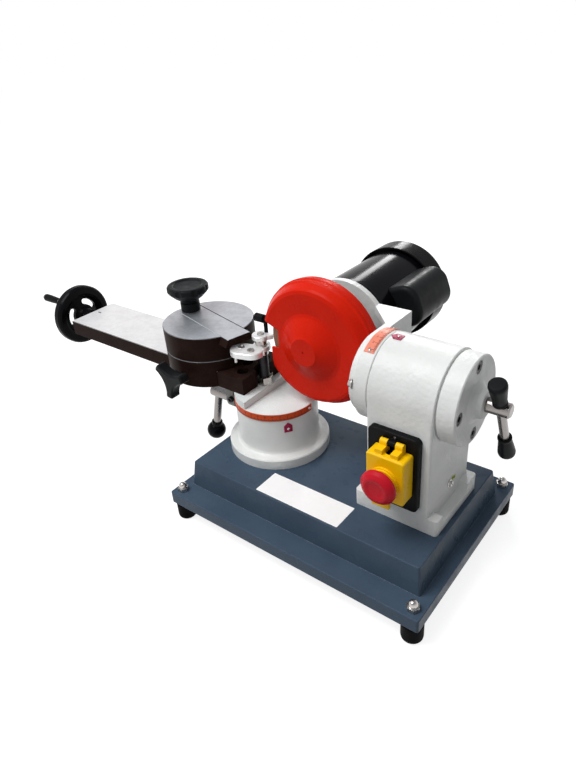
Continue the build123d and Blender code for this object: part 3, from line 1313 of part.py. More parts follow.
def grinding_wheel():
    bore = WHEEL_BORE_R + SEAT_GAP
    return turned_y(
        (
            (bore, WHEEL_Y0), (WHEEL_R - 1.5, WHEEL_Y0), (WHEEL_R, WHEEL_Y0 + 1.5), (WHEEL_R, WHEEL_Y1),
            (bore, WHEEL_Y1),
        ),
        SPINDLE_X, SPINDLE_Z,
    )


def wheel_flanges():
    bore = SHAFT_R + SEAT_GAP
    r = WHEEL_FLANGE_R
    back = turned_y(
        (
            (bore, WHEEL_Y0 + 0.5), (WHEEL_BORE_R, WHEEL_Y0 + 0.5), (WHEEL_BORE_R, WHEEL_Y1), (r, WHEEL_Y1),
            (r, WHEEL_Y1 + 4), (r - 5, WHEEL_Y1 + 6), (bore, WHEEL_Y1 + 6),
        ),
        SPINDLE_X, SPINDLE_Z,
    )
    front = turned_y(
        ((bore, WHEEL_Y0 - 5), (r - 5, WHEEL_Y0 - 5), (r, WHEEL_Y0 - 3), (r, WHEEL_Y0), (bore, WHEEL_Y0)),
        SPINDLE_X, SPINDLE_Z,
    )
    return [back, front]


def wheel_nut():
    face = Plane.XZ * RegularPolygon(WHEEL_NUT_AF / sqrt(3), 6)
    nut = Pos(SPINDLE_X, WHEEL_Y0 - 13, SPINDLE_Z) * extrude(face, 8, dir=(0, 1, 0))
    return nut - rod_y(SHAFT_R + SEAT_GAP, WHEEL_Y0 - 20, WHEEL_Y0, SPINDLE_X, SPINDLE_Z)


# Switch
def plate_outline(x0, x1, z0, z1, r, y0, y1):
    face = Plane.XZ * RectangleRounded(x1 - x0, z1 - z0, r)
    return Pos((x0 + x1) / 2, y0, (z0 + z1) / 2) * extrude(face, y1 - y0, dir=(0, 1, 0))


def button_box(x, extra, y0, y1):
    half_w = BUTTON_W / 2 + extra
    half_h = BUTTON_H / 2 + extra
    return box(x - half_w, x + half_w, y0, y1, BUTTON_Z - half_h, BUTTON_Z + half_h)


def switch_plate():
    body = plate_outline(PLATE_X0, PLATE_X1, PLATE_Z0, PLATE_Z1, 6.0, PLATE_FRONT, FACE_Y)
    body = chamfer(body.faces().sort_by(Axis.Y)[0].edges(), 1.0)
    for x in (START_X, STOP_X):
        body -= button_box(x, SLIDE_GAP, PLATE_FRONT - 1, FACE_Y + 1)
    x0 = FLAP_MID - HINGE_LUG_W / 2
    x1 = FLAP_MID + HINGE_LUG_W / 2
    body += box(x0, x1, HINGE_Y, PLATE_FRONT + 1, HINGE_Z - KNUCKLE_R, HINGE_Z + KNUCKLE_R)
    body += rod_x(KNUCKLE_R, x0, x1, HINGE_Y, HINGE_Z)
    return body - rod_x(HINGE_PIN_R + RUN_FIT, x0 - 1, x1 + 1, HINGE_Y, HINGE_Z)


def switch_body():
    body = box(SWITCH_X0, SWITCH_X1, FACE_Y, FACE_Y + SWITCH_DEPTH, SWITCH_Z0, SWITCH_Z1)
    for x in (START_X, STOP_X):
        body -= button_box(x, 1.0, FACE_Y - 1, FACE_Y + 6)
    return body


def push_button(x):
    body = button_box(x, 0, PLATE_FRONT - BUTTON_OUT, FACE_Y + 1.5)
    return chamfer(body.faces().sort_by(Axis.Y)[0].edges(), 0.8)


def start_button():
    return push_button(START_X)


def stop_button():
    return push_button(STOP_X)


def switch_flap():
    body = plate_outline(FLAP_X0, FLAP_X1, FLAP_Z0, FLAP_Z1, 3.0, FLAP_Y, FLAP_BACK)
    body = chamfer(body.faces().sort_by(Axis.Y)[0].edges(), 1.5)
    body -= box(
        FLAP_X0 + FLAP_T, FLAP_X1 - FLAP_T, FLAP_Y + FLAP_T, FLAP_BACK + 1, FLAP_Z0 + FLAP_T,
        FLAP_Z1 - FLAP_T
    )
    cut = HINGE_LUG_W / 2 + SLIDE_GAP
    body -= box(
        FLAP_MID - cut, FLAP_MID + cut, HINGE_Y - 4, FLAP_BACK + 1, FLAP_Z1 - FLAP_T - 1, FLAP_Z1 + 1
    )
    body -= rod_z(cut, FLAP_Z1 - FLAP_T - 1, FLAP_Z1 + 1, FLAP_MID, HINGE_Y - 4)
    body += rod_y(COLLAR_R + COLLAR_STEP, FLAP_Y - COLLAR_FOOT, FLAP_Y + 1, MUSHROOM_X, MUSHROOM_Z)
    body += rod_y(COLLAR_R, COLLAR_Y, FLAP_Y + 1, MUSHROOM_X, MUSHROOM_Z)
    body -= rod_y(STEM_R + RUN_FIT, COLLAR_Y - 1, FLAP_Y + 5, MUSHROOM_X, MUSHROOM_Z)
    tab_x = FLAP_MID - TAB_SIDE
    body += box(tab_x - TAB_W / 2, tab_x + TAB_W / 2, FLAP_Y, FLAP_Y + 4, FLAP_Z0 - TAB_DROP, FLAP_Z0 + 3)
    for side in (-1, 1):
        near = FLAP_MID + side * cut
        far = near + side * STRAP_W
        x0 = min(near, far)
        x1 = max(near, far)
        body += box(x0, x1, FLAP_Y + 3, HINGE_Y, FLAP_Z1 - 1, FLAP_Z1 + STRAP_H)
        body += box(x0, x1, HINGE_Y - KNUCKLE_R, HINGE_Y + KNUCKLE_R, FLAP_Z1 - 1, HINGE_Z)
        body += rod_x(KNUCKLE_R, x0, x1, HINGE_Y, HINGE_Z)
    reach = cut + STRAP_W - 1
    return body + rod_x(HINGE_PIN_R, FLAP_MID - reach, FLAP_MID + reach, HINGE_Y, HINGE_Z)


def mushroom():
    y0 = MUSHROOM_Y
    y1 = MUSHROOM_Y + MUSHROOM_T
    r = MUSHROOM_R
    cap = turned_y(
        (
            (0, y0 + 1.1), (8, y0 + 0.8), (11, y0 + 0.2), (12.5, y0), (14.5, y0 + 0.4), (18, y0 + 2.6),
            (r, y0 + 5.6),
            (r, y1 - 1), (r - 1, y1), (0, y1),
        ),
        MUSHROOM_X, MUSHROOM_Z,
    )
    cap += rod_y(STEM_R, y1 - 0.5, STEM_END, MUSHROOM_X, MUSHROOM_Z)
    return cap + rod_y(STEM_R + 1.5, FLAP_Y + FLAP_T + SKIN_GAP, FLAP_Y + 5, MUSHROOM_X, MUSHROOM_Z)


PARTS = (
    base_pan, rubber_feet, dome_nuts, base_bolts, swivel_column, head_column, end_cap, cap_screws,
    pointer_tags,
    switch_plate, switch_body, turntable, swivel_scale, pivot_bolt, arm_bar, arm_screws, lock_bracket,
    stop_post,
    stop_nut, stop_sleeve, stop_plate, stop_finger, stop_knob, lock_lever, lock_ball, lead_screw, handwheel,
    crank_pin, crank_grip, carriage, nut_plate, lead_nut, plate_screws, wing_knob, blade_table, table_pivot,
    table_strip, centring_stud, star_knob, head_bracket, tilt_shaft, tilt_scale, motor_shell, stator,
    fan_cover,
    capacitor_box, guard_cover, guard_back, motor_shaft, fan, grinding_wheel, wheel_flanges, wheel_nut,
    lock_shaft,
    tommy_bar, tommy_grips, switch_flap, mushroom, start_button, stop_button,
)


def export_all():
    os.makedirs("parts", exist_ok=True)
    for make in PARTS:
        made = make()
        solids = made if isinstance(made, list) else [made]
        moved = [Pos(*SHIFT) * one for solid in solids for one in solid.solids()]
        shape = moved[0] if len(moved) == 1 else Compound(children=moved)
        export_step(shape, "parts/" + make.__name__ + ".step")
        print(make.__name__, len(moved), round(sum(s.volume for s in moved)))
    print("shift", SHIFT)


export_all()
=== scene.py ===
import math

import bpy
from mathutils import Matrix, Vector


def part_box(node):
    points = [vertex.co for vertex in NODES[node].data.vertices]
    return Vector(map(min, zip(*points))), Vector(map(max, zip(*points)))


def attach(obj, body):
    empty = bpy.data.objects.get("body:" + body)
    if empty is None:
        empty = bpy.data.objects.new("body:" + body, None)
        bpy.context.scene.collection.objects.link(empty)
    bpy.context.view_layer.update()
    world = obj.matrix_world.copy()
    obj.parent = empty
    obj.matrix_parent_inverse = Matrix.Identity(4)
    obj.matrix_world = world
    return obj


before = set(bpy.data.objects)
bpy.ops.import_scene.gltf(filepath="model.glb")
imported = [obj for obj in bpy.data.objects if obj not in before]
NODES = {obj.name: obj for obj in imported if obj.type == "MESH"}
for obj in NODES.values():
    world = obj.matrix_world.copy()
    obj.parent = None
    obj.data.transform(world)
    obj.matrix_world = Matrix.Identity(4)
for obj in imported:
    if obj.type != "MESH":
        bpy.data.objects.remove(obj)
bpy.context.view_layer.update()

MM = 0.001
RIGHT, LEFT = (1, 0, 0), (-1, 0, 0)
BACK, FRONT = (0, 1, 0), (0, -1, 0)
UP = (0, 0, 1)

# Places are given in millimetres from the middle of the base, with the top of its pan at PAN_TOP.
BASE_LOW, BASE_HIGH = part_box("base_pan")
PAN_TOP = 84.0
ORIGIN = Vector((
    (BASE_LOW.x + BASE_HIGH.x) / 2,
    (BASE_LOW.y + BASE_HIGH.y) / 2,
    BASE_HIGH.z - PAN_TOP * MM,
))


def at(x, y, z):
    return ORIGIN + Vector((x, y, z)) * MM


def node_mm(node):
    """Lowest and highest corner of a CAD node, in the millimetres that at() takes."""
    low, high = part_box(node)
    return (low - ORIGIN) / MM, (high - ORIGIN) / MM


def show(name, data):
    shown = bpy.data.objects.new(name, data)
    bpy.context.scene.collection.objects.link(shown)
    return shown


# Camera, measured from the base outline in the picture
PICTURE_H = 768
FOCAL_PX = 621.7
SENSOR_MM = 36.0
CLIP_START = 0.01
CAMERA_AZ, CAMERA_EL, CAMERA_ROLL = (math.radians(v) for v in (40.38, 30.35, -4.65))
CAMERA_AT = at(369.7, -521.3, 584.8)


def make_camera():
    back = Vector((
        math.sin(CAMERA_AZ) * math.cos(CAMERA_EL),
        -math.cos(CAMERA_AZ) * math.cos(CAMERA_EL),
        math.sin(CAMERA_EL),
    ))
    level = Vector((math.cos(CAMERA_AZ), math.sin(CAMERA_AZ), 0.0))
    upright = back.cross(level)
    right = level * math.cos(CAMERA_ROLL) + upright * math.sin(CAMERA_ROLL)
    up = upright * math.cos(CAMERA_ROLL) - level * math.sin(CAMERA_ROLL)
    data = bpy.data.cameras.new("camera")
    data.sensor_width = SENSOR_MM
    data.lens = FOCAL_PX * SENSOR_MM / PICTURE_H
    data.clip_start = CLIP_START
    camera = show("camera", data)
    turn = Matrix((right, up, back)).transposed().to_4x4()
    camera.matrix_world = Matrix.Translation(CAMERA_AT) @ turn
    bpy.context.scene.camera = camera


# Node helpers
EVEN = (1, 1, 1)
BEVEL_SAMPLES = 6
EDGE_BEND = (0.02, 0.22)


class Tree:
    """The node tree of a material or a world, with short calls for its nodes."""

    def __init__(self, owner):
        owner.use_nodes = True
        self.tree = owner.node_tree
        self.tree.nodes.clear()

    def add(self, kind):
        return self.tree.nodes.new("ShaderNode" + kind)

    def link(self, source, target):
        self.tree.links.new(source, target)

    def ramp(self, factor, *stops):
        node = self.add("ValToRGB")
        elements = node.color_ramp.elements
        while len(elements) < len(stops):
            elements.new(0.5)
        for element, (position, color) in zip(elements, stops):
            element.position = position
            element.color = (*color, 1.0)
        self.link(factor, node.inputs["Fac"])
        return node.outputs["Color"]

    def math(self, operation, a, b=None):
        node = self.add("Math")
        node.operation = operation
        for socket, value in zip(node.inputs, (a, b)):
            if value is None:
                continue
            if isinstance(value, (int, float)):
                socket.default_value = value
            else:
                self.link(value, socket)
        return node.outputs["Value"]

    def seen_rays(self):
        """1 for rays from the camera and from gloss or glass, 0 for the rays that light the object."""
        path = self.add("LightPath")
        seen = path.outputs["Is Camera Ray"]
        for key in ("Is Glossy Ray", "Is Transmission Ray"):
            seen = self.math("MAXIMUM", seen, path.outputs[key])
        return seen


class Surface(Tree):
    """One material: a Principled shader and the textures that feed it."""

    def __init__(self, name, **sockets):
        self.material = bpy.data.materials.new(name)
        super().__init__(self.material)
        out = self.add("OutputMaterial")
        self.shader = self.add("BsdfPrincipled")
        self.link(self.shader.outputs["BSDF"], out.inputs["Surface"])
        self.coord = self.add("TexCoord")
        for key, value in sockets.items():
            self.shader.inputs[key.replace("_", " ")].default_value = value

    def set(self, key, source):
        self.link(source, self.shader.inputs[key])

    def place(self, stretch=EVEN):
        mapping = self.add("Mapping")
        mapping.inputs["Scale"].default_value = stretch
        self.link(self.coord.outputs["Object"], mapping.inputs["Vector"])
        return mapping.outputs["Vector"]

    def part(self, kind, axis):
        """One axis of the place on the object ("Object") or of its direction there ("Normal")."""
        split = self.add("SeparateXYZ")
        self.link(self.coord.outputs[kind], split.inputs["Vector"])
        return split.outputs[axis]

    def noise(self, size_mm, detail=3.0, roughness=0.55, stretch=EVEN):
        node = self.add("TexNoise")
        node.inputs["Scale"].default_value = 1 / (size_mm * MM)
        node.inputs["Detail"].default_value = detail
        node.inputs["Roughness"].default_value = roughness
        self.link(self.place(stretch), node.inputs["Vector"])
        return node.outputs["Fac"]

    def cells(self, size_mm, feature="F1"):
        node = self.add("TexVoronoi")
        node.feature = feature
        node.inputs["Scale"].default_value = 1 / (size_mm * MM)
        self.link(self.place(), node.inputs["Vector"])
        return node.outputs["Distance"]

    def spread(self, factor, low, high, to_low=0.0, to_high=1.0):
        """The factor's range from low to high, spread smoothly over another range."""
        node = self.add("MapRange")
        node.interpolation_type = "SMOOTHSTEP"
        ends = {"From Min": low, "From Max": high, "To Min": to_low, "To Max": to_high}
        for key, value in ends.items():
            node.inputs[key].default_value = value
        self.link(factor, node.inputs["Value"])
        return node.outputs["Result"]

    def blend(self, a, share, b):
        """That share of a, and b for the rest."""
        return self.math("ADD", self.math("MULTIPLY", a, share), self.math("MULTIPLY", b, 1 - share))

    def mix(self, factor, a, b):
        node = self.add("Mix")
        node.data_type = "RGBA"
        self.link(factor, node.inputs["Factor"])
        for key, value in (("A", a), ("B", b)):
            socket = next(s for s in node.inputs if s.name == key and s.type == "RGBA")
            if isinstance(value, tuple):
                socket.default_value = (*value, 1.0)
            else:
                self.link(value, socket)
        return next(s for s in node.outputs if s.type == "RGBA")

    def bevel(self, width_mm):
        node = self.add("Bevel")
        node.samples = BEVEL_SAMPLES
        node.inputs["Radius"].default_value = width_mm * MM
        return node.outputs["Normal"]

    def edges(self, width_mm):
        """1 near sharp edges and 0 on flat ground, from the rounded and the true normal."""
        dot = self.add("VectorMath")
        dot.operation = "DOT_PRODUCT"
        self.link(self.bevel(width_mm), dot.inputs[0])
        self.link(self.add("NewGeometry").outputs["Normal"], dot.inputs[1])
        return self.spread(self.math("SUBTRACT", 1.0, dot.outputs["Value"]), *EDGE_BEND)

    def bump(self, height, distance_mm, strength, rounded_mm=0.0):
        node = self.add("Bump")
        node.inputs["Distance"].default_value = distance_mm * MM
        node.inputs["Strength"].default_value = strength
        self.link(height, node.inputs["Height"])
        if rounded_mm:
            self.link(self.bevel(rounded_mm), node.inputs["Normal"])
        self.link(node.outputs["Normal"], self.shader.inputs["Normal"])


# Colours, linear: the darker and the lighter tone of each look
SLATE = (0.048, 0.074, 0.112), (0.061, 0.093, 0.135)
# painted highlight: the paler colour laid along the edges of the base
SLATE_EDGE_HIGHLIGHT = (0.20, 0.23, 0.27)
CAST_CREAM = (0.71, 0.77, 0.76), (0.79, 0.84, 0.83)
CREAM = (0.74, 0.75, 0.735), (0.82, 0.83, 0.815)
RUBBER = (0.002, 0.002, 0.002), (0.004, 0.004, 0.004)
NICKEL = (0.26, 0.24, 0.23), (0.31, 0.29, 0.28)
BRUSHED = (0.82, 0.82, 0.82), (0.92, 0.92, 0.92)
# painted shade: the lock bracket's cream paint darkened to grey, standing for the shade it sits in under
# the arm
BRACKET_SHADE = (0.26, 0.25, 0.23), (0.33, 0.32, 0.30)
CHROME = (0.46, 0.44, 0.42), (0.58, 0.56, 0.54)
STEEL = (0.40, 0.39, 0.38), (0.60, 0.59, 0.57)
BROWN = (0.015, 0.0072, 0.0053), (0.028, 0.0150, 0.0120)
ARM_TOP = (0.72, 0.72, 0.73), (0.82, 0.82, 0.83)
ROUND_TOP = (0.48, 0.52, 0.56), (0.63, 0.68, 0.73)
BLACK = (0.0036, 0.0038, 0.0044), (0.0068, 0.0070, 0.0080)
# painted highlight: the paler colour laid along the edges of the black plastic
BLACK_EDGE_HIGHLIGHT = (0.03, 0.03, 0.034)
BOX_BLACK = (0.008, 0.0088, 0.0095), (0.011, 0.0120, 0.0130)
GLOSS_BLACK = (0.004, 0.004, 0.005), (0.005, 0.005, 0.006)
MOTOR_BLACK = (0.003, 0.003, 0.004), (0.004, 0.0042, 0.006)
OXIDE = (0.018, 0.018, 0.020), (0.045, 0.045, 0.048)
RED = (0.63, 0.013, 0.003), (0.68, 0.017, 0.004)
BUTTON_RED = (0.54, 0.008, 0.020), (0.60, 0.012, 0.026)
BUTTON_GREEN = (0.010, 0.21, 0.045), (0.016, 0.29, 0.065)
YELLOW = (0.97, 0.56, 0.001), (1.0, 0.60, 0.002)
ORANGE = (0.62, 0.062, 0.010), (0.68, 0.085, 0.018)
# painted light: the tilt scale's orange made paler and pinker, standing for the strong light that falls on
# this scale
TILT_ORANGE_LIT = (0.78, 0.22, 0.14), (0.84, 0.28, 0.19)
CRIMSON = (0.30, 0.010, 0.055), (0.38, 0.016, 0.075)
GRIT = (0.10, 0.042, 0.024), (0.25, 0.115, 0.070), (0.42, 0.23, 0.15)
GRIT_WORN = (0.20, 0.085, 0.05)
BRASS = (0.46, 0.30, 0.10), (0.66, 0.46, 0.17)
IRON = (0.05, 0.05, 0.052), (0.09, 0.09, 0.095)
WHITE_PRINT = (0.93, 0.94, 0.94), (0.96, 0.97, 0.97)
# print colour of the degree lines and figures, also used as painted shade for the slot on the arm
DARK_PRINT_AND_SHADE = (0.020, 0.010, 0.010), (0.035, 0.018, 0.016)
EARTH_YELLOW = (0.55, 0.46, 0.02), (0.64, 0.55, 0.03)
EARTH_GREEN = (0.03, 0.20, 0.03), (0.04, 0.26, 0.05)

PAINT_IOR, PLASTIC_IOR = 1.5, 1.48
PRINT_SHINE, PRINT_ROUGH = 0.15, 0.38
STEEL_SHINE, STEEL_TINT = 0.02, (1.0, 0.76, 0.68, 1.0)
LATHE_LINES = (1, 1, 14)
LINES_ALONG_X = (0.05, 1, 1)


def shaded(color, share):
    return tuple(c * share for c in color)


def hammered_paint(name, tones, rough, shine, cell_mm, depth_mm, edge_highlight=None):
    """Paint on a casting: small dents, a clouded tone, scuffs and, with an edge highlight colour, edges
    painted lighter in patches as a painted highlight.
    """
    dark, light = tones
    s = Surface(name, IOR=PAINT_IOR, Specular_IOR_Level=shine)
    color = s.ramp(s.noise(60.0), (0.30, dark), (0.70, light))
    streaks = s.noise(14.0, detail=6.0, roughness=0.7, stretch=(1, 1, 3))
    color = s.mix(s.spread(streaks, 0.62, 0.74, to_high=0.35), color, shaded(dark, 0.72))
    # painted highlight: the edges are lightened in patches towards this colour
    if edge_highlight:
        patches = s.spread(s.noise(9.0), 0.35, 0.65, to_low=0.2)
        color = s.mix(s.math("MULTIPLY", s.edges(1.2), patches), color, edge_highlight)
    s.set("Base Color", color)
    s.set("Roughness", s.spread(s.noise(20.0, detail=4.0), 0.3, 0.7, rough - 0.06, rough + 0.10))
    dents = s.math("ADD", s.cells(cell_mm, "SMOOTH_F1"), s.math("MULTIPLY", s.noise(1.6), 0.5))
    s.bump(dents, depth_mm, strength=0.55, rounded_mm=0.7)
    return s.material


def plastic(name, tones, rough, shine, grain_mm, depth_mm, rounded_mm=0.5, uneven=0.08, edge_highlight=None):
    """Moulded or enamelled: a fine grain, uneven gloss and, with an edge highlight colour, edges painted
    lighter as a painted highlight.
    """
    dark, light = tones
    s = Surface(name, IOR=PLASTIC_IOR, Specular_IOR_Level=shine)
    color = s.ramp(s.noise(28.0, detail=4.0), (0.3, dark), (0.7, light))
    # painted highlight: the edges are lightened towards this colour
    if edge_highlight:
        color = s.mix(s.math("MULTIPLY", s.edges(0.8), s.noise(5.0)), color, edge_highlight)
    s.set("Base Color", color)
    s.set("Roughness", s.spread(s.noise(12.0, detail=5.0), 0.3, 0.7, rough - uneven, rough + uneven))
    s.bump(s.noise(grain_mm, detail=2.0), depth_mm, strength=0.6, rounded_mm=rounded_mm)
    return s.material


def bright_metal(name, tones, rough, lines=EVEN, line_mm=1.4, depth_mm=0.006, metal=1.0):
    """Machined or plated metal: tool lines and faint stains."""
    dark, light = tones
    s = Surface(name, Metallic=metal)
    cuts = s.noise(line_mm, detail=5.0, roughness=0.6, stretch=lines)
    stain = s.noise(22.0, detail=5.0, roughness=0.65)
    s.set("Base Color", s.ramp(s.blend(cuts, 0.5, stain), (0.35, dark), (0.65, light)))
    s.set("Roughness", s.spread(s.math("ADD", cuts, stain), 0.7, 1.3, rough - 0.06, rough + 0.10))
    s.bump(cuts, depth_mm, strength=0.5, rounded_mm=0.35)
    return s.material


def blackened_steel(name, top_tones, top_metal, lines, bright_to_mm=None):
    """Dark on its sides and bright on its level faces, there only up to a given place along X."""
    dark, light = top_tones
    s = Surface(name, Specular_IOR_Level=STEEL_SHINE, Specular_Tint=STEEL_TINT)
    bright = s.spread(s.math("ABSOLUTE", s.part("Normal", "Z")), 0.60, 0.90)
    if bright_to_mm is not None:
        dark_from, bright_to = at(bright_to_mm + 1, 0, 0).x, at(bright_to_mm, 0, 0).x
        bright = s.math("MULTIPLY", bright, s.spread(s.part("Object", "X"), dark_from, bright_to))
    grain = s.noise(0.9, detail=4.0, roughness=0.6, stretch=lines)
    stain = s.noise(26.0, detail=5.0, roughness=0.68)
    fine = s.noise(7.0, detail=6.0, roughness=0.72)
    side_color = s.ramp(s.blend(grain, 0.35, stain), (0.34, BROWN[0]), (0.66, BROWN[1]))
    top_color = s.ramp(s.blend(stain, 0.6, fine), (0.36, dark), (0.56, light))
    top_color = s.mix(s.spread(fine, 0.66, 0.76, to_high=0.25), top_color, shaded(dark, 0.5))
    s.set("Base Color", s.mix(bright, side_color, top_color))
    s.set("Metallic", s.spread(bright, 0.0, 1.0, to_high=top_metal))
    grain_rough = s.math("MULTIPLY", s.math("SUBTRACT", grain, 0.5), 0.22)
    s.set("Roughness", s.math("ADD", s.spread(bright, 0.0, 1.0, 0.36, 0.40), grain_rough))
    s.bump(grain, 0.012, strength=0.5, rounded_mm=0.4)
    return s.material


def abrasive(name):
    s = Surface(name)
    grit = s.cells(0.7)
    color = s.ramp(grit, *zip((0.0, 0.45, 1.0), GRIT))
    s.set("Base Color", s.mix(s.spread(s.noise(9.0), 0.4, 0.7, to_high=0.6), color, GRIT_WORN))
    s.set("Roughness", s.spread(s.noise(3.0), 0.3, 0.7, 0.62, 0.9))
    s.bump(grit, 0.14, strength=0.8)
    return s.material


def printed(name, tones):
    dark, light = tones
    s = Surface(name, IOR=PAINT_IOR, Specular_IOR_Level=PRINT_SHINE)
    s.set("Base Color", s.ramp(s.noise(9.0, detail=4.0), (0.3, dark), (0.7, light)))
    s.set("Roughness", s.spread(s.noise(4.0), 0.3, 0.7, PRINT_ROUGH - 0.08, PRINT_ROUGH + 0.12))
    s.bump(s.noise(0.8), 0.008, strength=0.4)
    return s.material


# Looks of the carried-over nodes and of the added pieces
def make_looks():
    return {
        "slate": hammered_paint(
            "slate_paint", SLATE, rough=0.30, shine=0.08, cell_mm=2.6, depth_mm=0.04, edge_highlight=SLATE_EDGE_HIGHLIGHT,
        ),
        "cast": hammered_paint("cast_cream", CAST_CREAM, rough=0.42, shine=0.3, cell_mm=1.6, depth_mm=0.9),
        "cream": hammered_paint("cream_paint", CREAM, rough=0.34, shine=0.3, cell_mm=4.4, depth_mm=0.6),
        "rubber": plastic("foot_rubber", RUBBER, rough=0.6, shine=0.04, grain_mm=0.7, depth_mm=0.03),
        "nickel": bright_metal("nickel", NICKEL, rough=0.24, line_mm=2.0, depth_mm=0.0005),
        "brushed": bright_metal("brushed_steel", BRUSHED, rough=0.35, line_mm=0.8, metal=0.4),
        # painted shade: a darker grey copy of the cream paint for the lock bracket under the arm
        "bracket": hammered_paint(
            "bracket_painted_shade", BRACKET_SHADE, rough=0.36, shine=0.3, cell_mm=3.0, depth_mm=0.06,
        ),
        "chrome": bright_metal("chrome", CHROME, rough=0.24, line_mm=3.0, depth_mm=0.001),
        "steel": bright_metal("bright_steel", STEEL, rough=0.32, lines=LATHE_LINES),
        "arm": blackened_steel(
            "arm_steel", ARM_TOP, top_metal=0.35, lines=LINES_ALONG_X, bright_to_mm=-165.0,
        ),
        "puck": blackened_steel("round_steel", ROUND_TOP, top_metal=0.85, lines=LATHE_LINES),
        "black": plastic(
            "black_plastic", BLACK, rough=0.40, shine=0.07, grain_mm=0.8, depth_mm=0.02, edge_highlight=BLACK_EDGE_HIGHLIGHT,
        ),
        "box": plastic(
            "box_black", BOX_BLACK, rough=0.40, shine=0.08, grain_mm=2.4, depth_mm=0.003, rounded_mm=2.0,
        ),
        "black_gloss": plastic(
            "black_gloss", GLOSS_BLACK, rough=0.24, shine=0.06, grain_mm=1.6, depth_mm=0.004,
        ),
        "motor": plastic(
            "motor_enamel", MOTOR_BLACK, rough=0.18, shine=0.08, grain_mm=6.0, depth_mm=0.001, uneven=0.01,
        ),
        "black_oxide": bright_metal("black_oxide", OXIDE, rough=0.40),
        "red": plastic(
            "guard_red", RED, rough=0.32, shine=0.07, grain_mm=2.4, depth_mm=0.004, rounded_mm=0.8,
        ),
        "button_red": plastic(
            "button_red", BUTTON_RED, rough=0.34, shine=0.12, grain_mm=1.2, depth_mm=0.006,
        ),
        "green": plastic(
            "button_green", BUTTON_GREEN, rough=0.32, shine=0.3, grain_mm=1.2, depth_mm=0.008,
        ),
        "yellow": plastic(
            "switch_yellow", YELLOW, rough=0.34, shine=0.2, grain_mm=1.2, depth_mm=0.008, rounded_mm=0.9,
        ),
        "orange": printed("scale_orange", ORANGE),
        # painted light: the tilt scale printed in the paler orange that stands for the strong light on it
        "tilt_orange_lit": printed("tilt_scale_orange_lit", TILT_ORANGE_LIT),
        "crimson": printed("tag_crimson", CRIMSON),
        "grit": abrasive("abrasive_grit"),
        "brass": bright_metal("brass", BRASS, rough=0.30, lines=LATHE_LINES),
        "core": hammered_paint("core_iron", IRON, rough=0.5, shine=0.4, cell_mm=1.5, depth_mm=0.05),
        "white_print": printed("white_print", WHITE_PRINT),
        "dark_print_and_shade": printed("dark_print_and_shade", DARK_PRINT_AND_SHADE),
        "earth_yellow": printed("earth_yellow", EARTH_YELLOW),
        "earth_green": printed("earth_green", EARTH_GREEN),
    }


NODE_LOOKS = {
    "slate": ("base_pan",),
    "cream": ("swivel_column", "head_column", "end_cap", "head_bracket"),
    "cast": ("turntable",),
    "bracket": ("lock_bracket",),
    "nickel": ("lock_lever", "lock_shaft", "tommy_bar"),
    "brushed": ("stop_plate", "stop_finger"),
    "rubber": ("rubber_feet",),
    "chrome": ("dome_nuts", "stop_nut", "stop_sleeve"),
    "steel": (
        "base_bolts", "pivot_bolt", "lead_screw", "crank_pin", "table_pivot", "centring_stud", "tilt_shaft",
        "motor_shaft", "wheel_flanges", "wheel_nut",
    ),
    "arm": ("arm_bar",),
    "puck": ("carriage", "blade_table", "table_strip", "nut_plate"),
    "black": ("switch_plate", "switch_body", "stop_knob", "crank_grip", "fan"),
    "box": ("capacitor_box", "wing_knob", "star_knob", "tommy_grips"),
    "black_gloss": ("lock_ball", "handwheel", "fan_cover"),
    "motor": ("motor_shell", "guard_back"),
    "black_oxide": ("cap_screws", "arm_screws", "plate_screws", "stop_post"),
    "red": ("guard_cover",),
    "button_red": ("mushroom", "stop_button"),
    "green": ("start_button",),
    "yellow": ("switch_flap",),
    "orange": ("swivel_scale",),
    "tilt_orange_lit": ("tilt_scale",),
    "crimson": ("pointer_tags",),
    "grit": ("grinding_wheel",),
    "brass": ("lead_nut",),
    "core": ("stator",),
}


def dress_nodes(looks):
    for look, nodes in NODE_LOOKS.items():
        for node in nodes:
            slots = NODES[node].data.materials
            slots.clear()
            slots.append(looks[look])


# Mesh helpers. A part is a list of points in metres and a list of faces.
def mesh_of(name, verts, faces):
    mesh = bpy.data.meshes.new(name)
    mesh.from_pydata([tuple(v) for v in verts], [], faces)
    mesh.update()
    return mesh


def joined(parts):
    verts, faces = [], []
    for v, f in parts:
        shift = len(verts)
        verts += v
        faces += [tuple(i + shift for i in face) for face in f]
    return verts, faces


def add_piece(name, parts, material, body, smooth=False):
    mesh = mesh_of(name, *joined(parts))
    if smooth:
        mesh.shade_smooth()
    mesh.materials.append(material)
    piece = show(name, mesh)
    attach(piece, body)


def stacked_faces(rings, count):
    """Faces of a closed solid whose points lie in rings of count, from the bottom up."""
    faces = []
    for ring in range(rings - 1):
        for i in range(count):
            a, b = ring * count + i, ring * count + (i + 1) % count
            faces.append((a, b, b + count, a + count))
    faces.append(tuple(reversed(range(count))))
    faces.append(tuple(range((rings - 1) * count, rings * count)))
    return faces


def facing(normal):
    """Turn that takes local Z to the given direction."""
    n = Vector(normal).normalized()
    side = Vector(UP).cross(n)
    if side.length < 1e-6:
        side = Vector(RIGHT)
    side.normalize()
    return Matrix((side, n.cross(side), n)).transposed()


def turned(profile, place, normal, steps=24):
    """Solid of revolution from (radius, height) points in mm, standing on place along normal."""
    turn = facing(normal)
    verts = []
    for r, h in profile:
        for i in range(steps):
            a = 2 * math.pi * i / steps
            verts.append(place + turn @ Vector((r * math.cos(a), r * math.sin(a), h)) * MM)
    return verts, stacked_faces(len(profile), steps)


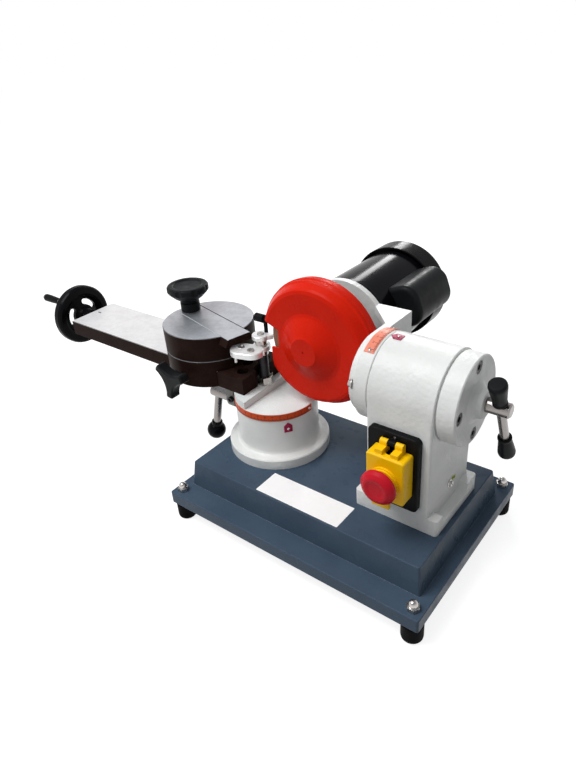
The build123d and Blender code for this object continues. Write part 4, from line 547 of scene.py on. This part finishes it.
def flat_piece(outline, place, x_dir, normal, thick, inset=0.0):
    """Thin solid with a flat outline in mm, lying on place, its upper edge drawn in by inset."""
    n = Vector(normal)
    x = Vector(x_dir)
    y = n.cross(x)
    rings = [(0.0, 0.0), (thick - inset, 0.0)]
    if inset:
        rings.append((thick, inset))
    verts = []
    for h, drawn_in in rings:
        for u, v in outline:
            length = math.hypot(u, v)
            k = (length - drawn_in) / length
            verts.append(place + (x * u * k + y * v * k + n * h) * MM)
    return verts, stacked_faces(len(rings), len(outline))


# Outlines in mm
CORNER_STEPS = 6


def rectangle(width, height):
    w, h = width / 2, height / 2
    return [(-w, -h), (w, -h), (w, h), (-w, h)]


def rounded_outline(width, height, radius):
    w, h = width / 2 - radius, height / 2 - radius
    points = []
    for cx, cy, start in ((w, h, 0), (-w, h, 90), (-w, -h, 180), (w, -h, 270)):
        for i in range(CORNER_STEPS + 1):
            a = math.radians(start + 90 * i / CORNER_STEPS)
            points.append((cx + radius * math.cos(a), cy + radius * math.sin(a)))
    return points


def hexagon(across_flats):
    r = across_flats / 2 / math.cos(math.pi / 6)
    return [(r * math.cos(math.pi / 3 * i), r * math.sin(math.pi / 3 * i)) for i in range(6)]


# Marks, figures and rivets on round faces: mm, and degrees for half the width of a mark
RIVET = ((1.9, 0.0), (1.9, 0.35), (1.5, 0.8), (0.9, 1.1), (0.3, 1.2))
RIVET_STEPS = 16
PRINT_SINK, PRINT_LIFT = -0.02, 0.05
MARK_LENGTHS = ((10, 4.6), (5, 3.2), (1, 2.0))
FIVE_HALF, ONE_HALF = 0.24, 0.16
FONT_OVER_FIGURE = 1.4


class Drum:
    """A round face: its middle, the directions of its axis and of angle zero, and its radius in mm."""

    def __init__(self, middle, axis, zero, radius):
        self.middle = middle
        self.axis = Vector(axis)
        self.zero = Vector(zero)
        self.side = self.axis.cross(self.zero)
        self.radius = radius

    def normal(self, angle):
        a = math.radians(angle)
        return self.zero * math.cos(a) + self.side * math.sin(a)

    def point(self, angle, along, lift=0.0):
        return self.middle + (self.normal(angle) * (self.radius + lift) + self.axis * along) * MM

    def spot(self, angle, along):
        return self.point(angle, along), self.normal(angle)

    def patch(self, a0, a1, s0, s1):
        """Closed thin plate between two angles and two places along the axis."""
        corners = ((s0, PRINT_SINK), (s1, PRINT_SINK), (s1, PRINT_LIFT), (s0, PRINT_LIFT))
        verts = [self.point(a, along, lift) for a in (a0, a1) for along, lift in corners]
        return verts, stacked_faces(2, len(corners))


def rivets(name, spots, material, body):
    heads = [turned(RIVET, place, normal, RIVET_STEPS) for place, normal in spots]
    add_piece(name, heads, material, body, smooth=True)


def degree_marks(name, drum, zero_at, degrees, edge, inward, material, body):
    """Degree lines from an edge of a band: long at tens, middling at fives."""
    parts = []
    for degree in degrees:
        length = next(mm for step, mm in MARK_LENGTHS if degree % step == 0)
        half = ONE_HALF if degree % 5 else FIVE_HALF
        middle = zero_at + degree
        s0, s1 = sorted((edge, edge + inward * length))
        parts.append(drum.patch(middle - half, middle + half, s0, s1))
    add_piece(name, parts, material, body)


def degree_numbers(name, drum, zero_at, degrees, along, height_mm, turn_sign, material, body):
    """Plain figures wrapped on a band."""
    parts = []
    for degree in degrees:
        words = bpy.data.curves.new("figure", "FONT")
        words.body = str(abs(degree))
        words.size = height_mm * FONT_OVER_FIGURE
        words.align_x = "CENTER"
        holder = show("figure", words)
        depsgraph = bpy.context.evaluated_depsgraph_get()
        flat = bpy.data.meshes.new_from_object(holder.evaluated_get(depsgraph))
        verts = []
        for v in flat.vertices:
            angle = zero_at + degree + turn_sign * math.degrees(v.co.x / drum.radius)
            verts.append(drum.point(angle, along + v.co.y, PRINT_LIFT))
        parts.append((verts, [tuple(p.vertices) for p in flat.polygons]))
        bpy.data.objects.remove(holder)
        bpy.data.curves.remove(words)
        bpy.data.meshes.remove(flat)
    add_piece(name, parts, material, body)


# The scales: places in mm, angles in degrees. The swivel turns about Z and the tilt about X.
SWIVEL_X, SWIVEL_Y = -100.6, 6.2
TILT_Y, TILT_Z = 4.1, 237.0
SWIVEL_POINTER, TILT_POINTER = -36.5, 92.0
SWIVEL_SCALE_R, SWIVEL_TAG_R = 55.6, 55.45
TILT_SCALE_R, TILT_TAG_R = 51.9, 52.25
SWIVEL_DEGREES, SWIVEL_TENS = range(-140, 32), range(-140, 31, 10)
TILT_DEGREES, TILT_TENS = range(-28, 34), range(-20, 31, 10)
SWIVEL_RIVETS, TILT_RIVETS = (-2.2, -182.0), (65.0, 123.8)
MARKS_FROM_EDGE = 0.4
SWIVEL_FIGURE_H, SWIVEL_FIGURES_FROM_EDGE = 2.0, 5.6
TILT_FIGURE_H, TILT_FIGURES_FROM_EDGE = 2.2, 8.4
SWIVEL_TAG_RIVET_Z, TILT_TAG_RIVET_X = 137.0, 82.5


def swivel_drum(radius):
    return Drum(at(SWIVEL_X, SWIVEL_Y, 0), UP, RIGHT, radius)


def tilt_drum(radius):
    return Drum(at(0, TILT_Y, TILT_Z), RIGHT, BACK, radius)


def scales(looks):
    ink, metal = looks["dark_print_and_shade"], looks["chrome"]

    low, high = node_mm("swivel_scale")
    drum = swivel_drum(SWIVEL_SCALE_R)
    degree_marks(
        "swivel_marks", drum, SWIVEL_POINTER, SWIVEL_DEGREES, low.z + MARKS_FROM_EDGE, 1, ink, "turntable",
    )
    degree_numbers(
        "swivel_figures", drum, SWIVEL_POINTER, SWIVEL_TENS, low.z + SWIVEL_FIGURES_FROM_EDGE,
        SWIVEL_FIGURE_H, 1, ink, "turntable",
    )
    middle = (low.z + high.z) / 2
    rivets("swivel_scale_rivets", [drum.spot(a, middle) for a in SWIVEL_RIVETS], metal, "turntable")

    low, high = node_mm("tilt_scale")
    drum = tilt_drum(TILT_SCALE_R)
    degree_marks(
        "tilt_marks", drum, TILT_POINTER, TILT_DEGREES, high.x - MARKS_FROM_EDGE, -1, ink, "head",
    )
    degree_numbers(
        "tilt_figures", drum, TILT_POINTER, TILT_TENS, high.x - TILT_FIGURES_FROM_EDGE,
        TILT_FIGURE_H, -1, ink, "head",
    )
    middle = (low.x + high.x) / 2
    rivets("tilt_scale_rivets", [drum.spot(a, middle) for a in TILT_RIVETS], metal, "head")

    spots = [
        swivel_drum(SWIVEL_TAG_R).spot(SWIVEL_POINTER, SWIVEL_TAG_RIVET_Z),
        tilt_drum(TILT_TAG_R).spot(TILT_POINTER, TILT_TAG_RIVET_X),
    ]
    rivets("pointer_rivets", spots, metal, "base")


# Screws and bolts, in mm
WASHER_T, WASHER_STEP, WASHER_INSET = 1.2, 0.9, 0.4
BOLT_INSET = 0.6
# A slotted head: half its slot over its radius, and its lower disc and half discs over its height
SLOT_HALF, LOWER_DISC, HALF_DISCS = 0.14, 0.55, 0.5
SLOT_ARC_STEPS = 12
ROUND_STEPS = 32


def hex_bolt(place, normal, across, height, washer_r):
    """Hexagon head on a washer."""
    profile = ((washer_r, 0), (washer_r, WASHER_STEP), (washer_r - WASHER_INSET, WASHER_T))
    washer = turned(profile, place, normal)
    top = place + Vector(normal) * WASHER_T * MM
    side = facing(normal) @ Vector(RIGHT)
    return joined([washer, flat_piece(hexagon(across), top, side, normal, height, BOLT_INSET)])


def slotted_head(place, normal, radius, height, slot_angle):
    """Cheese-head screw with a real slot: two half discs a slot apart on a full lower disc."""
    side = facing(normal) @ Vector(RIGHT)
    parts = [turned(((radius, 0), (radius, height * LOWER_DISC)), place, normal, ROUND_STEPS)]
    middle = place + Vector(normal) * height * (1 - HALF_DISCS) * MM
    reach = math.acos(SLOT_HALF)
    for start in (slot_angle, slot_angle + math.pi):
        angles = [start - reach + 2 * reach * i / SLOT_ARC_STEPS for i in range(SLOT_ARC_STEPS + 1)]
        half_disc = [(radius * math.cos(a), radius * math.sin(a)) for a in angles]
        parts.append(flat_piece(half_disc, middle, side, normal, height * HALF_DISCS))
    return joined(parts)


# Small pieces: places, sizes and (radius, height) profiles in mm
PLATE_X, PLATE_Y = 1.0, -75.5
PLATE_W, PLATE_L, PLATE_CORNER = 121, 38, 1.0
PLATE_T, PLATE_INSET = 0.25, 0.08
EARTH_X, EARTH_Y, EARTH_Z = 149.0, 6.0, 118.5
EARTH_WASHER = ((5.2, 0), (5.2, 0.8), (4.8, 1.0))
EARTH_WASHER_T = 1.0
TAG_Y, TAG_Z = 15.5, 121.0
TAG_LEAN = (0, 0.3, 0.954)
TAG_SIZE, TAG_T = (4.8, 10), 0.3
STRIPE_SIZE, STRIPE_T = (2.0, 9.2), 0.1
INLET_X, INLET_Z = 105.0, 125.0
GROMMET = ((8.4, 0), (8.4, 1.6), (7.6, 2.4), (5.4, 2.4), (4.8, 1.6), (4.8, 0.4))
MOTOR_X, MOTOR_Z = -35, 245
MOTOR_PLATE_Y = 71.0
MOTOR_BOLT_CIRCLE = 43
MOTOR_BOLT_ANGLES = (79, 9, -56, 124, 169, -124)
DISC_BOLT_AT = (54.6, -44.0, 246.0)
STOP_SCREW_X, STOP_SCREW_Y = -116.6, -16.5
STOP_RING_X, STOP_RING_Y = -133.6, -15.0
STOP_RING = ((4.4, 0), (4.4, 0.5), (4.0, 0.8), (2.9, 0.8), (2.6, 0.3))
POST_X, POST_Y = -118.0, 6.2
BRACKET_SCREW_X, BRACKET_SCREW_Z = -173.4, 132.5
BRACKET_SCREW = ((4.2, 0), (4.2, 4.4), (3.7, 5.0), (2.2, 5.0), (2.2, 2.5))
# painted shade: size and place of the dark sheet that stands for the shade in the slot on the arm
ARM_SLOT_SHADE_X, ARM_SLOT_SHADE_Y = -473.4, 10.1
ARM_SLOT_SHADE_W, ARM_SLOT_SHADE_L, ARM_SLOT_SHADE_CORNER, ARM_SLOT_SHADE_T = 7.0, 2.2, 1.0, 0.06
HINGE_SCREW_AT = (112.0, -54.6, 204.4)


def base_pieces(looks):
    # blank plate on top of the base, at its front
    outline = rounded_outline(PLATE_W, PLATE_L, PLATE_CORNER)
    plate = flat_piece(outline, at(PLATE_X, PLATE_Y, PAN_TOP), RIGHT, UP, PLATE_T, PLATE_INSET)
    add_piece("blank_plate", [plate], looks["white_print"], "base")

    # earth point on the right of the head column
    washer = turned(EARTH_WASHER, at(EARTH_X, EARTH_Y, EARTH_Z), RIGHT)
    screw_at = at(EARTH_X + EARTH_WASHER_T, EARTH_Y, EARTH_Z)
    screw = slotted_head(screw_at, RIGHT, radius=3.6, height=2.4, slot_angle=0.6)
    add_piece("earth_screw", [washer, screw], looks["chrome"], "base")
    tag = flat_piece(rectangle(*TAG_SIZE), at(EARTH_X, TAG_Y, TAG_Z), TAG_LEAN, RIGHT, TAG_T)
    add_piece("earth_tag", [tag], looks["earth_yellow"], "base")
    stripe_at = at(EARTH_X + TAG_T, TAG_Y, TAG_Z)
    stripe = flat_piece(rectangle(*STRIPE_SIZE), stripe_at, TAG_LEAN, RIGHT, STRIPE_T)
    add_piece("earth_stripe", [stripe], looks["earth_green"], "base")

    # rubber grommet in the inlet at the back of the head column
    inlet = at(INLET_X, node_mm("head_column")[1].y, INLET_Z)
    add_piece("inlet_grommet", [turned(GROMMET, inlet, BACK, ROUND_STEPS)], looks["rubber"], "base")


def head_pieces(looks):
    # bolts of the motor plate and of the disc
    bolts = []
    for a in map(math.radians, MOTOR_BOLT_ANGLES):
        x, z = MOTOR_X + MOTOR_BOLT_CIRCLE * math.cos(a), MOTOR_Z + MOTOR_BOLT_CIRCLE * math.sin(a)
        bolts.append(hex_bolt(at(x, MOTOR_PLATE_Y, z), FRONT, across=10.0, height=4.5, washer_r=7.0))
    add_piece("motor_bolts", bolts, looks["steel"], "head")
    bolt = hex_bolt(at(*DISC_BOLT_AT), LEFT, across=8.0, height=4.0, washer_r=5.5)
    add_piece("disc_bolt", [bolt], looks["steel"], "head")


def stop_pieces(looks):
    # screw and ring on the stop plate, and the screw on top of the stop post
    top = node_mm("stop_plate")[1].z
    screw = slotted_head(at(STOP_SCREW_X, STOP_SCREW_Y, top), UP, radius=4.6, height=1.6, slot_angle=0.4)
    add_piece("stop_screw", [screw], looks["steel"], "turntable")
    ring = turned(STOP_RING, at(STOP_RING_X, STOP_RING_Y, top), UP, ROUND_STEPS)
    add_piece("stop_ring", [ring], looks["steel"], "turntable")
    top = node_mm("stop_finger")[1].z
    screw = slotted_head(at(POST_X, POST_Y, top), UP, radius=4.2, height=1.6, slot_angle=1.2)
    add_piece("post_screw", [screw], looks["chrome"], "turntable")


def other_pieces(looks):
    # screw of the lock bracket
    front = node_mm("lock_bracket")[0].y
    screw = turned(BRACKET_SCREW, at(BRACKET_SCREW_X, front, BRACKET_SCREW_Z), FRONT)
    add_piece("bracket_screw", [screw], looks["black_oxide"], "turntable")

    # slot on the far end of the arm: a thin dark sheet, painted shade standing for the shade inside the
    # slot
    outline = rounded_outline(ARM_SLOT_SHADE_W, ARM_SLOT_SHADE_L, ARM_SLOT_SHADE_CORNER)
    shade_at = at(ARM_SLOT_SHADE_X, ARM_SLOT_SHADE_Y, node_mm("arm_bar")[1].z)
    slot_shade = flat_piece(outline, shade_at, RIGHT, UP, ARM_SLOT_SHADE_T)
    add_piece("arm_slot_shade", [slot_shade], looks["dark_print_and_shade"], "turntable")

    # screw of the switch hinge
    screw = slotted_head(at(*HINGE_SCREW_AT), FRONT, radius=1.5, height=1.0, slot_angle=0.9)
    add_piece("hinge_screw", [screw], looks["nickel"], "base")


# Stage and light, in metres and watts
FLOOR_HALF = 8.0
FLOOR_COLOR = (0.38, 0.38, 0.38)
FLOOR_LIFT = 0.83
AMBIENT = 0.59
SKY_AXIS = Vector((-0.42, -0.16, 0.89))
LIT_SKY = (0.0, (0.22, 0.22, 0.22)), (0.8, (0.97, 0.985, 1.0))
SEEN_SKY = (0.25, (1, 1, 1)), (0.75, (0.35, 0.36, 0.38))
LIT_MIDDLE = at(-80, 20, 150)
KEY_FROM, KEY_SIZE, KEY_POWER = Vector((-0.55, -0.75, 1.75)), (1.1, 1.1), 29.0
REAR_FROM, REAR_SIZE, REAR_POWER = Vector((-0.60, 1.48, 0.89)), (0.22, 0.9), 8.0


def make_stage():
    s = Surface("floor", Roughness=0.9, Specular_IOR_Level=0.0, Emission_Color=(1, 1, 1, 1))
    tone = s.noise(400.0, detail=2.0)
    s.set("Base Color", s.ramp(tone, (0.3, FLOOR_COLOR), (0.7, shaded(FLOOR_COLOR, 1.02))))
    s.set("Emission Strength", s.math("MULTIPLY", s.seen_rays(), FLOOR_LIFT))
    corners = [(x, y, 0) for x, y in rectangle(2 * FLOOR_HALF, 2 * FLOOR_HALF)]
    mesh = mesh_of("floor", corners, [(0, 1, 2, 3)])
    mesh.materials.append(s.material)
    floor = show("floor", mesh)


def make_world():
    """The sky that is seen is white to well above the horizon and dimmer overhead, which gloss shows.
    The sky that lights the object is brightest along SKY_AXIS."""
    world = bpy.data.worlds.new("studio")
    bpy.context.scene.world = world
    sky = Tree(world)
    out = sky.add("OutputWorld")
    direction = sky.add("TexCoord").outputs["Generated"]
    split = sky.add("SeparateXYZ")
    sky.link(direction, split.inputs["Vector"])
    lean = sky.add("VectorMath")
    lean.operation = "DOT_PRODUCT"
    lean.inputs[1].default_value = SKY_AXIS
    sky.link(direction, lean.inputs[0])
    mix = sky.add("MixShader")
    sky.link(sky.seen_rays(), mix.inputs["Fac"])
    for socket, height, stops, strength in (
        (mix.inputs[1], lean.outputs["Value"], LIT_SKY, AMBIENT),
        (mix.inputs[2], split.outputs["Z"], SEEN_SKY, 1.0),
    ):
        background = sky.add("Background")
        background.inputs["Strength"].default_value = strength
        sky.link(sky.ramp(height, *stops), background.inputs["Color"])
        sky.link(background.outputs["Background"], socket)
    sky.link(mix.outputs["Shader"], out.inputs["Surface"])


def area_light(name, offset, size, power):
    data = bpy.data.lights.new(name, "AREA")
    data.shape = "RECTANGLE"
    data.size, data.size_y = size
    data.energy = power
    lamp = show(name, data)
    lamp.location = LIT_MIDDLE + offset
    lamp.rotation_mode = "QUATERNION"
    lamp.rotation_quaternion = (-offset).to_track_quat("-Z", "Y")


make_camera()
LOOKS = make_looks()
dress_nodes(LOOKS)
scales(LOOKS)
base_pieces(LOOKS)
head_pieces(LOOKS)
stop_pieces(LOOKS)
other_pieces(LOOKS)
make_stage()
make_world()
area_light("key", KEY_FROM, KEY_SIZE, KEY_POWER)
area_light("rear", REAR_FROM, REAR_SIZE, REAR_POWER)
bpy.context.scene.view_settings.view_transform = "Standard"
